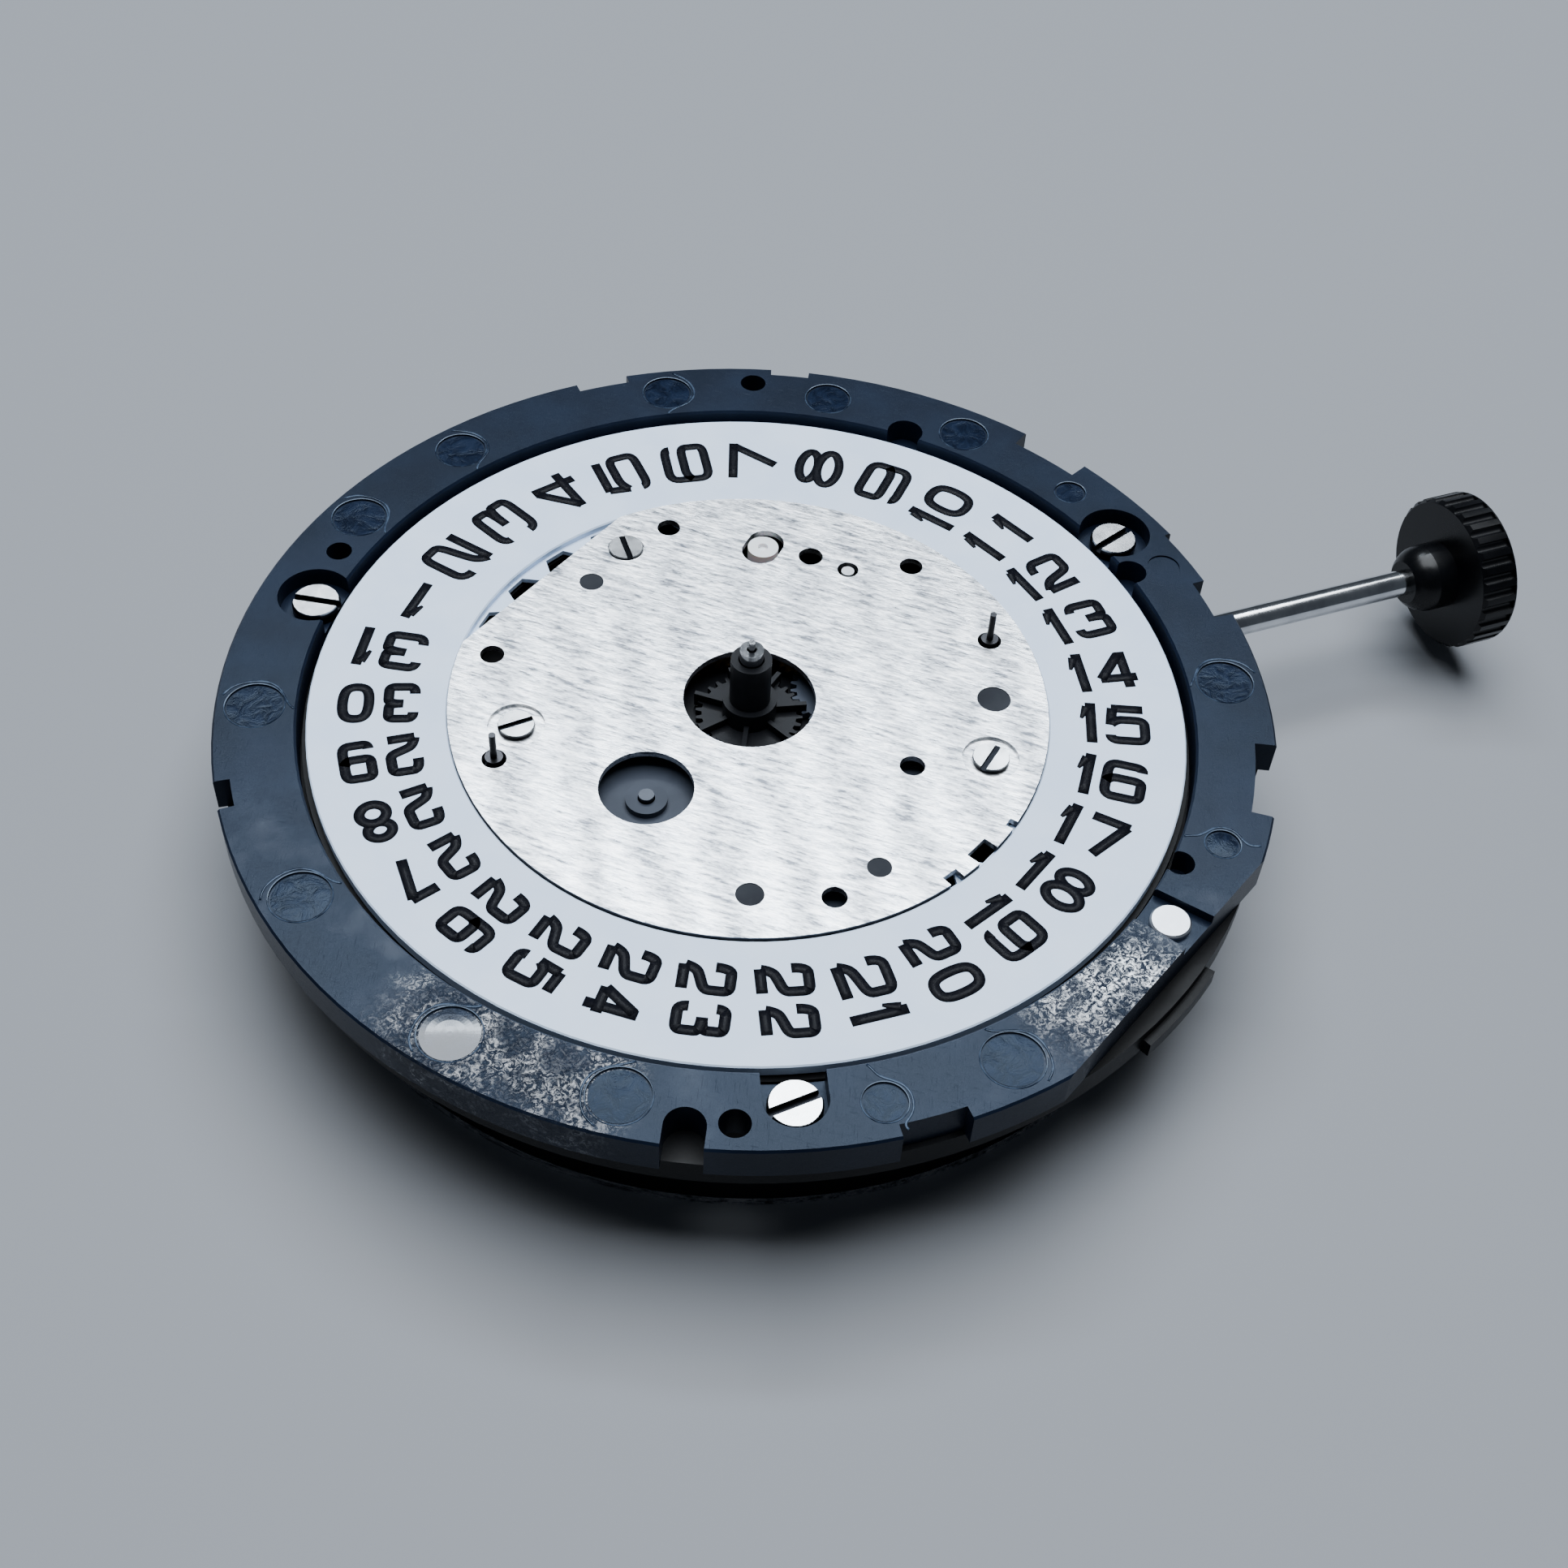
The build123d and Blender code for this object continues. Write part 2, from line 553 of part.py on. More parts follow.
hour_ribs = 7
rib_top = 4.62
rib_length = 1.0
with BuildPart() as hour_wheel:
    toothed(centre, hour_teeth, motion_module, 0, hour_level, 0.15)
    disc(centre, 1.1, hour_level, day_level)
    toothed(centre, hour_small_teeth, motion_module, 0, day_level, day_wheel_t)
    disc(centre, hour_hub_r, hour_level, guard_top)
    disc(centre, hour_post_r, guard_top, hour_post_top)
    for rib in range(hour_ribs):
        angle = 90 + rib * 360 / hour_ribs
        block(polar(hour_hub_r + rib_length / 2 - gap, angle), rib_length, 0.14, day_level, rib_top, angle)
    disc(centre, minute_post_r + play, hour_level - gap, hour_post_top + gap, Mode.SUBTRACT)
finish(hour_wheel, "hour_wheel")

with BuildPart() as day_idler:
    toothed(day_idler_at, day_idler_teeth, motion_module, day_idler_turn, day_level, day_wheel_t)
    disc(day_idler_at, 0.5, day_level, day_level + 0.4)
    disc(day_idler_at, post_r + play, day_level, day_level + 0.5, Mode.SUBTRACT)
finish(day_idler, "day_idler")

with BuildPart() as day_wheel:
    toothed(day_at, day_teeth, motion_module, day_turn, day_level, day_wheel_t)
    disc(day_at, arbor_r, stem_z + 0.6, day_level)
    disc(day_at, counter_hub_r, day_level, post_foot)
    disc(day_at, counter_post_r, post_foot, day_post_top)
    disc(day_at, 0.3, hour_level + 0.02, day_level)
finish(day_wheel, "day_wheel")

with BuildPart() as date_idler:
    toothed(date_idler_at, date_idler_teeth, motion_module, date_idler_turn, day_level, day_wheel_t)
    disc(date_idler_at, 0.6, day_level, day_level + 0.4)
    disc(date_idler_at, post_r + play, day_level, day_level + 0.5, Mode.SUBTRACT)
finish(date_idler, "date_idler")

# the finger stands part of a turn before the teeth of the date ring
finger_reach = 2.72
finger_angle = -150
with BuildPart() as date_drive_wheel:
    toothed(date_drive_at, date_drive_teeth, motion_module, date_drive_turn, day_level, day_wheel_t)
    disc(date_drive_at, 0.6, day_level, tooth_top)
    slot(date_drive_at, polar(finger_reach - 0.2, finger_angle, date_drive_at), 0.4, day_level + 0.3,
         tooth_top)
    disc(date_drive_at, post_r + play, day_level, tooth_top + gap, Mode.SUBTRACT)
finish(date_drive_wheel, "date_drive_wheel")

jumper_foot = (4.5, -3.0)
with BuildPart() as date_jumper:
    slot(jumper_foot, polar(7.5, -52), 0.24, day_level + 0.4, tooth_top)
    disc(jumper_foot, 0.4, web_top, tooth_top)
    disc(polar(7.55, -52), 0.26, day_level + 0.4, tooth_top)
finish(date_jumper, "date_jumper")

with BuildPart() as setting_wheel:
    toothed(setting_at, setting_teeth, setting_module, setting_turn, setting_level, 0.15)
    disc(setting_at, 0.5, setting_level, hour_level + 0.02)
    disc(setting_at, post_r + play, setting_level, hour_level + gap, Mode.SUBTRACT)
finish(setting_wheel, "setting_wheel")

# ---- keyless works ----
clutch_groove = (6.0, 6.55)
with BuildPart() as clutch_wheel:
    rod(clutch_r, clutch_in, clutch_out)
    rod(clutch_r + 1, clutch_groove[0], clutch_groove[1], Mode.SUBTRACT)
    rod(0.55, clutch_groove[0] - 0.05, clutch_groove[1] + 0.05)
    with BuildSketch(Plane(origin=(clutch_in, 0, stem_z), x_dir=(0, 1, 0), z_dir=(1, 0, 0))) as face_cuts:
        with PolarLocations(0.6, 12):
            Rectangle(0.5, 0.14)
    extrude(face_cuts.sketch, amount=0.2, mode=Mode.SUBTRACT)
    clutch_end = Plane(origin=(clutch_in, 0, stem_z), x_dir=(0, 1, 0), z_dir=(1, 0, 0))
    with BuildSketch(clutch_end) as square_hole:
        Rectangle(square_side + 2 * play, square_side + 2 * play)
    extrude(square_hole.sketch, amount=clutch_out - clutch_in, mode=Mode.SUBTRACT)
finish(clutch_wheel, "clutch_wheel")

stem_tip = hub_end + 0.9
with BuildPart() as winding_stem:
    rod(pilot_r, stem_inner_end, pilot_end)
    with BuildSketch(Plane(origin=(pilot_end, 0, stem_z), x_dir=(0, 1, 0), z_dir=(1, 0, 0))) as square:
        Rectangle(square_side, square_side)
    extrude(square.sketch, amount=square_end - pilot_end)
    rod(0.35, square_end, groove_x - groove_half - 0.3)
    rod(stem_r, groove_x - groove_half - 0.3, groove_x - groove_half)
    rod(neck_r, groove_x - groove_half, groove_x + groove_half)
    rod(stem_r, groove_x + groove_half, stem_tip)
    chamfer(winding_stem.edges().group_by(Axis.X)[-1], 0.08)
finish(winding_stem, "winding_stem")

shoulder_r = 0.9
bead = 0.12
rim_width, rim_drop = 0.2, 0.3
dome_rise = 0.2
dome_r = ((crown_r - rim_drop) ** 2 + dome_rise**2) / (2 * dome_rise)
with BuildPart() as crown:
    with BuildSketch(Plane(origin=(0, 0, stem_z), x_dir=(1, 0, 0), z_dir=(0, -1, 0))) as profile:
        with BuildLine():
            Line((crown_start, stem_r), (crown_start, hub_r - 0.4))
            RadiusArc((crown_start, hub_r - 0.4), (crown_start + 0.7, hub_r), shoulder_r)
            Line((crown_start + 0.7, hub_r), (hub_end, hub_r))
            Line((hub_end, hub_r), (hub_end, crown_r - bead))
            Line((hub_end, crown_r - bead), (hub_end + bead, crown_r))
            Line((hub_end + bead, crown_r), (crown_end - dome_rise - rim_width, crown_r))
            Line((crown_end - dome_rise - rim_width, crown_r), (crown_end - dome_rise, crown_r - rim_drop))
            RadiusArc((crown_end - dome_rise, crown_r - rim_drop), (crown_end, 0), dome_r)
            Line((crown_end, 0), (stem_tip, 0))
            Line((stem_tip, 0), (stem_tip, stem_r))
            Line((stem_tip, stem_r), (crown_start, stem_r))
        make_face()
    revolve(profile.sketch, Axis((0, 0, stem_z), (1, 0, 0)))
    with BuildSketch(Plane(origin=(hub_end, 0, stem_z), x_dir=(0, 1, 0), z_dir=(1, 0, 0))) as flute_cuts:
        with PolarLocations(crown_r + flute_r * 0.35, flutes):
            Circle(flute_r)
    extrude(flute_cuts.sketch, amount=crown_end - dome_rise - rim_width - hub_end - 0.05,
            mode=Mode.SUBTRACT)
finish(crown, "crown")

lever_pin_r = 0.2
with BuildPart() as setting_lever:
    slot(lever_at, (groove_x, 0), 0.6, keyless_level, keyless_level + keyless_t)
    disc(lever_at, 0.62, keyless_level, keyless_level + keyless_t)
    disc((groove_x, 0), lever_pin_r, stem_z + neck_r + 0.05, keyless_level)
    disc(lever_at, post_r + play, keyless_level, keyless_level + keyless_t, Mode.SUBTRACT)
finish(setting_lever, "setting_lever")

yoke_tip = (6.38, -0.28)
yoke_elbow = (6.38, -1.4)
with BuildPart() as yoke:
    slot(yoke_at, yoke_elbow, 0.3, keyless_level, keyless_level + keyless_t)
    slot(yoke_elbow, yoke_tip, 0.2, keyless_level, keyless_level + keyless_t)
    slot(yoke_at, (8.25, -1.6), 0.3, keyless_level, keyless_level + keyless_t)
    disc(yoke_at, 0.5, keyless_level, keyless_level + keyless_t)
    disc(yoke_at, post_r + play, keyless_level, keyless_level + keyless_t, Mode.SUBTRACT)
finish(yoke, "yoke")

with BuildPart() as setting_spring:
    disc((7.3, 3.3), 0.42, web_top, keyless_level + keyless_t)
    slot((7.3, 3.3), (9.15, 1.7), 0.22, keyless_level, keyless_level + keyless_t)
finish(setting_spring, "setting_spring")

# ---- train bridge and its screws ----
bridge_corners = [(-11.3, -1.6), (-2.6, -3.1), (0.4, -4.65), (2.2, -4.75), (3.4, -2.2), (7.0, 1.8),
                  (2.2, 6.9), (0.4, 8.1), (-2.1, 10.3), (-7.1, 8.2), (-10.7, 5.2)]
with BuildPart() as train_bridge:
    outline_plate(bridge_corners, bridge_bottom, bridge_top, 0.5)
    for spot in (centre, third_at, fourth_at, fifth_at, rotor_at, transfer_at, chrono_rotor_at, idler_at,
                 minute_counter_at):
        disc(spot, arbor_r + play, bridge_bottom, bridge_top, Mode.SUBTRACT)
    for spot in bridge_screw_at:
        disc(spot, screw_shaft_r + play, bridge_bottom, bridge_top, Mode.SUBTRACT)
    disc(battery_at, battery_r + play + battery_wall, bridge_bottom, bridge_top, Mode.SUBTRACT)
finish(train_bridge, "train_bridge")

with BuildPart() as bridge_screws:
    for spot in bridge_screw_at:
        disc(spot, screw_shaft_r, bridge_bottom, web_bottom - gap)
        disc(spot, 0.55, bridge_bottom - 0.25, bridge_bottom)
        block(spot, 2, 0.18, bridge_bottom - 0.3, bridge_bottom - 0.13, 30, Mode.SUBTRACT)
finish(bridge_screws, "bridge_screws")

# ---- going train ----
pivot_bottom = bridge_bottom + 0.05
pivot_top = web_bottom + 0.2
with BuildPart() as time_rotor:
    disc(rotor_at, arbor_r, pivot_bottom, pivot_top)
    disc(rotor_at, 0.25, level(1) + 0.02, level(3))
    toothed(rotor_at, rotor_teeth, train_module, rotor_turn, level(3) - 0.05, wheel_t + 0.1)
finish(time_rotor, "time_rotor")

magnet_r = 0.75
with BuildPart() as time_rotor_magnet:
    disc(rotor_at, magnet_r, level(1) + 0.02, level(1) + 0.4)
    disc(rotor_at, 0.25, level(1) + 0.02, level(1) + 0.4, Mode.SUBTRACT)
finish(time_rotor_magnet, "time_rotor_magnet")

with BuildPart() as fifth_wheel:
    disc(fifth_at, arbor_r, pivot_bottom, pivot_top)
    toothed(fifth_at, fifth_teeth, train_module, 0, level(3), wheel_t)
    toothed(fifth_at, fifth_pinion, train_module, fifth_pinion_turn, level(3), level_pitch + wheel_t + 0.04)
finish(fifth_wheel, "fifth_wheel")

with BuildPart() as fourth_wheel:
    disc(fourth_at, arbor_r, pivot_bottom, pivot_top)
    toothed(fourth_at, fourth_teeth, train_module, 0, level(4), wheel_t)
    toothed(fourth_at, fourth_pinion, train_module, fourth_pinion_turn, level(4),
            level_pitch + wheel_t + 0.04)
finish(fourth_wheel, "fourth_wheel")

with BuildPart() as third_wheel:
    disc(third_at, arbor_r, pivot_bottom, pivot_top)
    toothed(third_at, third_teeth, train_module, 0, level(5), wheel_t)
    toothed(third_at, third_pinion, train_module, third_pinion_turn, level(5), level_pitch + wheel_t + 0.04)
finish(third_wheel, "third_wheel")

with BuildPart() as centre_wheel:
    toothed(centre, centre_teeth, train_module, 0, level(6), wheel_t)
    disc(centre, 0.7, level(6), web_bottom - 0.05)
    disc(centre, 0.4 + play, level(6) - gap, web_bottom, Mode.SUBTRACT)
finish(centre_wheel, "centre_wheel")

# ---- chronograph train ----
with BuildPart() as chrono_rotor:
    disc(chrono_rotor_at, arbor_r, pivot_bottom, pivot_top)
    disc(chrono_rotor_at, 0.25, level(2), level(2) + 0.6)
    toothed(chrono_rotor_at, rotor_teeth, train_module, chrono_rotor_turn, level(2) - 0.05, wheel_t + 0.1)
finish(chrono_rotor, "chrono_rotor")

chrono_stator_bottom = 1.95
with BuildPart() as chrono_rotor_magnet:
    disc(chrono_rotor_at, magnet_r, chrono_stator_bottom - 0.03, level(2) + 0.6)
    disc(chrono_rotor_at, 0.25, chrono_stator_bottom - 0.03, level(2) + 0.6, Mode.SUBTRACT)
finish(chrono_rotor_magnet, "chrono_rotor_magnet")

with BuildPart() as chrono_transfer:
    disc(transfer_at, arbor_r, pivot_bottom, pivot_top)
    toothed(transfer_at, transfer_teeth, train_module, 0, level(2), wheel_t)
    toothed(transfer_at, transfer_pinion, train_module, transfer_pinion_turn, level(1) - 0.02,
            level_pitch + wheel_t)
finish(chrono_transfer, "chrono_transfer")

with BuildPart() as chrono_seconds_wheel:
    disc(centre, arbor_r, pivot_bottom, level(6) - 0.1)
    disc(centre, second_post_r, level(6) - gap, second_post_top)
    toothed(centre, seconds_teeth, train_module, 0, level(1), wheel_t)
    toothed(centre, seconds_pinion, chrono_module, 0, level(1), level_pitch + wheel_t + 0.04)
finish(chrono_seconds_wheel, "chrono_seconds_wheel")

with BuildPart() as chrono_idler:
    disc(idler_at, arbor_r, pivot_bottom, pivot_top)
    toothed(idler_at, idler_teeth, chrono_module, idler_turn, level(2), wheel_t)
    toothed(idler_at, idler_pinion, chrono_module, 0, level(2), level_pitch + wheel_t + 0.04)
finish(chrono_idler, "chrono_idler")

with BuildPart() as minute_counter_wheel:
    disc(minute_counter_at, arbor_r, pivot_bottom, day_level)
    disc(minute_counter_at, counter_hub_r, day_level, post_foot)
    disc(minute_counter_at, counter_post_r, post_foot, minute_counter_top)
    toothed(minute_counter_at, counter_teeth, chrono_module, counter_turn, level(3), wheel_t)
    disc(minute_counter_at, 0.35, level(3) - 0.2, level(3) + 0.4)
finish(minute_counter_wheel, "minute_counter_wheel")

# ---- two stepping motors: stator, coil core and winding ----
coil_offset = 2.0
coil_half = 2.95
coil_r = 0.75
core_t = 0.35
core_width = 0.86
stator_t = 0.32
rotor_hole_r = magnet_r + 0.15


def motor_frame(rotor, outward, height):
    """Plane at the rotor with +Y outwards, towards the coil."""
    turn = radians(outward)
    return Plane(origin=(rotor[0], rotor[1], height), x_dir=(sin(turn), -cos(turn), 0), z_dir=(0, 0, 1))


def stator_shape(rotor, outward, height):
    """Adds a flat stator that holds the rotor and reaches both ends of the coil core."""
    reach, waist = coil_half + 1.0, 1.6
    with BuildSketch(motor_frame(rotor, outward, height)) as outline:
        with BuildLine():
            Polyline((-reach, 2.62), (-reach, 0.5), (-waist, -1.25), (waist, -1.25), (reach, 0.5),
                     (reach, 2.62), (coil_half + 0.12, 2.62), (coil_half + 0.12, 1.1),
                     (-coil_half - 0.12, 1.1), (-coil_half - 0.12, 2.62), close=True)
        make_face()
        Circle(rotor_hole_r, mode=Mode.SUBTRACT)
    extrude(outline.sketch, amount=stator_t)


def core_shape(rotor, outward, height):
    """Adds a flat coil core with a wide tab at each end."""
    with BuildSketch(motor_frame(rotor, outward, height)) as outline:
        with Locations((0, coil_offset)):
            Rectangle(2 * coil_half + 1, core_width)
        with Locations((-coil_half - 0.55, coil_offset), (coil_half + 0.55, coil_offset)):
            Rectangle(0.85, 1.2)
    extrude(outline.sketch, amount=core_t)


def winding_shape(rotor, outward, height):
    """Adds a round winding with the hole that its core fills."""
    turned = motor_frame(rotor, outward, height)
    start = turned.origin + turned.x_dir * -coil_half - turned.z_dir.cross(turned.x_dir) * -coil_offset
    with BuildSketch(Plane(origin=start, x_dir=(0, 0, 1), z_dir=turned.x_dir)) as outline:
        Circle(coil_r)
        Rectangle(core_t, core_width, mode=Mode.SUBTRACT)
    extrude(outline.sketch, amount=2 * coil_half)


time_outward = direction(centre, rotor_at)
chrono_outward = direction(centre, chrono_rotor_at)
time_core_bottom = level(1) + 0.04 - core_t
chrono_core_bottom = chrono_stator_bottom - core_t

with BuildPart() as time_stator:
    stator_shape(rotor_at, time_outward, level(1) + 0.04)
finish(time_stator, "time_stator")

with BuildPart() as time_coil_core:
    core_shape(rotor_at, time_outward, time_core_bottom)
finish(time_coil_core, "time_coil_core")

with BuildPart() as time_coil:
    winding_shape(rotor_at, time_outward, time_core_bottom + core_t / 2)
finish(time_coil, "time_coil")

with BuildPart() as chrono_stator:
    stator_shape(chrono_rotor_at, chrono_outward, chrono_stator_bottom)
finish(chrono_stator, "chrono_stator")

with BuildPart() as chrono_coil_core:
    core_shape(chrono_rotor_at, chrono_outward, chrono_core_bottom)
finish(chrono_coil_core, "chrono_coil_core")

with BuildPart() as chrono_coil:
    winding_shape(chrono_rotor_at, chrono_outward, chrono_core_bottom + core_t / 2)
finish(chrono_coil, "chrono_coil")

# ---- circuit ----
board_bottom, board_top = 0.6, 0.8
chip_at = (4.9, -4.6)
crystal_at, crystal_angle = polar(9.6, -33), 57
with BuildPart() as circuit_board:
    sector(3.6, 12.3, -66, 22, board_bottom, board_top)
    for spot in bridge_screw_at:
        disc(spot, 0.8, board_bottom, board_top, Mode.SUBTRACT)
finish(circuit_board, "circuit_board")

with BuildPart() as chip:
    block(chip_at, 2.2, 2.2, board_top, board_top + 0.6, 20)
finish(chip, "chip")

crystal_r = 0.72
with BuildPart() as crystal_can:
    crystal_start = polar(-2.4, crystal_angle, crystal_at)
    along_can = (cos(radians(crystal_angle)), sin(radians(crystal_angle)), 0)
    with BuildSketch(Plane(origin=(crystal_start[0], crystal_start[1], board_top + crystal_r),
                           x_dir=(0, 0, 1), z_dir=along_can)):
        Circle(crystal_r)
    extrude(amount=4.8)
finish(crystal_can, "crystal_can")

# ---- battery, clamp, contact and back cover ----
with BuildPart() as battery_cell:
    disc(battery_at, battery_r, cover_t, cover_t + battery_t)
    disc(battery_at, battery_r - 0.5, cover_t - 0.03, cover_t)
    fillet(battery_cell.edges().group_by(Axis.Z)[-1], 0.25)
finish(battery_cell, "battery_cell")

with BuildPart() as battery_contact:
    slot(polar(2.6, clamp_angle, battery_at), polar(-2.6, clamp_angle, battery_at), 1.4,
         cover_t + battery_t, web_bottom)
finish(battery_contact, "battery_contact")

clamp_width = 2.2
clamp_bottom, clamp_top = 0.05, 0.25
with BuildPart() as battery_clamp:
    block(battery_at, 2 * clamp_reach + 1.4, clamp_width, clamp_bottom, clamp_top, clamp_angle)
    for spot in clamp_screw_at:
        disc(spot, screw_shaft_r + play, clamp_bottom, clamp_top, Mode.SUBTRACT)
finish(battery_clamp, "battery_clamp")

cover_r = body_r
battery_window_r = battery_r + 0.25
with BuildPart() as back_cover:
    disc(centre, cover_r, 0, cover_t)
    disc(battery_at, battery_window_r, 0, cover_t, Mode.SUBTRACT)
    block(battery_at, 2 * clamp_reach + 1.6, clamp_width + 2 * gap, 0, cover_t, clamp_angle, Mode.SUBTRACT)
    for angle in cover_screw_angles:
        disc(polar(cover_screw_r, angle), small_screw_r + play, 0, cover_t - gap, Mode.SUBTRACT)
        disc(polar(cover_screw_r, angle), screw_shaft_r * 0.8 + play, 0, cover_t, Mode.SUBTRACT)
finish(back_cover, "back_cover")

with BuildPart() as cover_screws:
    for angle in cover_screw_angles:
        disc(polar(cover_screw_r, angle), small_screw_r, 0.03, cover_t - gap)
        disc(polar(cover_screw_r, angle), screw_shaft_r * 0.8, cover_t - gap, 1.5)
        block(polar(cover_screw_r, angle), 1.2, 0.15, 0, 0.1, angle + 25, Mode.SUBTRACT)
finish(cover_screws, "cover_screws")

with BuildPart() as clamp_screws:
    for spot in clamp_screw_at:
        disc(spot, 0.5, 0.01, clamp_bottom)
        disc(spot, screw_shaft_r, clamp_bottom, web_bottom - gap)
finish(clamp_screws, "clamp_screws")

# ---- chronograph switch levers ----
lever_swing = 5
lever_width = 0.55
tab_t = 0.24
tab_width = 0.9
contact_reach = 3.0
contact_width = 0.9
contact_t = 0.14
contact_clear = 0.13


def switch_lever(pivot, side):
    """Adds a flat lever from its peg to an upright tab at the edge; side is 1 or -1."""
    tab = polar(lever_tab_r, side * lever_tab_angle)
    slot(pivot, tab, lever_width, lever_level, lever_level + lever_t)
    disc(pivot, lever_width, lever_level, lever_level + lever_t)
    block(tab, tab_t, tab_width, lever_level, ring_bottom - gap, side * lever_tab_angle)
    disc(pivot, lever_peg_r + play, lever_level, lever_level + lever_t, Mode.SUBTRACT)


def switch_contact(pivot, side):
    """Adds an upright leaf that the lever meets at the end of its swing."""
    tab = polar(lever_tab_r, side * lever_tab_angle)
    along = direction(pivot, tab)
    foot = polar(contact_reach, along, pivot)
    inward = along - side * 90
    offset = lever_width / 2 + contact_reach * sin(radians(lever_swing)) + contact_clear
    block(polar(offset, inward, foot), contact_width, contact_t, board_top, lever_level + lever_t, along)


with BuildPart() as start_lever:
    switch_lever(start_lever_at, 1)
finish(start_lever, "start_lever")

with BuildPart() as reset_lever:
    switch_lever(reset_lever_at, -1)
finish(reset_lever, "reset_lever")

with BuildPart() as switch_contacts:
    switch_contact(start_lever_at, 1)
    switch_contact(reset_lever_at, -1)
finish(switch_contacts, "switch_contacts")
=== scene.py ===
import json
import math

import bmesh
import bpy
from mathutils import Matrix, Vector


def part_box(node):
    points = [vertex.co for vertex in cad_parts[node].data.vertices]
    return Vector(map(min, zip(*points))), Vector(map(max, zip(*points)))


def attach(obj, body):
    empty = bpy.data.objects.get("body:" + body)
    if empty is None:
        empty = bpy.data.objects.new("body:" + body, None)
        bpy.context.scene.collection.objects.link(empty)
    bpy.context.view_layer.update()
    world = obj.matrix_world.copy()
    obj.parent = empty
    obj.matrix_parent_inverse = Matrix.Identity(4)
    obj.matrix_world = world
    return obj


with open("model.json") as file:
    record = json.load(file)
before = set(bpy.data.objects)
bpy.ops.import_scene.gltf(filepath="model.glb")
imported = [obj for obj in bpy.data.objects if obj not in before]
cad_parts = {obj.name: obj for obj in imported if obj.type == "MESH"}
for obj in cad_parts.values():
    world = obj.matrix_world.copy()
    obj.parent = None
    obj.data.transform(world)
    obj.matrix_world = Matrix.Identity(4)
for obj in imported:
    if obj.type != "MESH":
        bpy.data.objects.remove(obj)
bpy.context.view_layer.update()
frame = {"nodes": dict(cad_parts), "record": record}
nodes = frame["nodes"]
mm = 0.001  # every size below is given in millimetres
print("frame loaded:", len(nodes), "nodes")

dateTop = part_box("date_ring")[1].z / mm
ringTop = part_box("spacer_ring")[1].z / mm


def onCircle(radius, degrees):
    turn = math.radians(degrees)
    return Vector((radius * math.cos(turn), radius * math.sin(turn), 0))


# camera
shot = {
    "target": (-0.18, -3.38, 4.9),
    "azimuth": -113.22,
    "elevation": 48.72,
    "distance": 59.4,
    "roll": 3.78,
    "lens": 48.17,
    "sensor": 36,
    # nearest and farthest seen, in metres
    "clip": (0.002, 10),
}


def makeCamera():
    data = bpy.data.cameras.new("camera")
    data.lens = shot["lens"]
    data.sensor_width = shot["sensor"]
    data.clip_start, data.clip_end = shot["clip"]
    camera = bpy.data.objects.new("camera", data)
    bpy.context.scene.collection.objects.link(camera)
    target = Vector(shot["target"])
    tilt = math.radians(shot["elevation"])
    away = onCircle(math.cos(tilt), shot["azimuth"]) + Vector((0, 0, math.sin(tilt)))
    aim = (-away).to_track_quat("-Z", "Y").to_matrix().to_4x4()
    place = Matrix.Translation((target + away * shot["distance"]) * mm)
    camera.matrix_world = place @ aim @ Matrix.Rotation(math.radians(shot["roll"]), 4, "Z")
    bpy.context.scene.camera = camera


makeCamera()
print("camera placed")


# shader helpers
class Value:
    # one shader value: arithmetic on it adds Math nodes to its finish
    def __init__(self, finish, socket):
        self.finish = finish
        self.socket = socket

    def sum(self, operation, first, second=0.0):
        return self.finish.node("ShaderNodeMath", {"operation": operation}, {0: first, 1: second})

    def __add__(self, other):
        return self.sum("ADD", self, other)

    def __radd__(self, other):
        return self.sum("ADD", other, self)

    def __sub__(self, other):
        return self.sum("SUBTRACT", self, other)

    def __rsub__(self, other):
        return self.sum("SUBTRACT", other, self)

    def __mul__(self, other):
        return self.sum("MULTIPLY", self, other)

    def __rmul__(self, other):
        return self.sum("MULTIPLY", other, self)

    def __pow__(self, other):
        return self.sum("POWER", self, other)

    def sine(self):
        return self.sum("SINE", self)

    def clamped(self):
        return self.finish.node("ShaderNodeClamp", {}, {"Value": self})

    def band(self, low, high):
        # 0 below low, 1 above high, smooth between
        sockets = {"Value": self, "From Min": low, "From Max": high}
        return self.finish.node("ShaderNodeMapRange", {"interpolation_type": "SMOOTHSTEP"}, sockets)


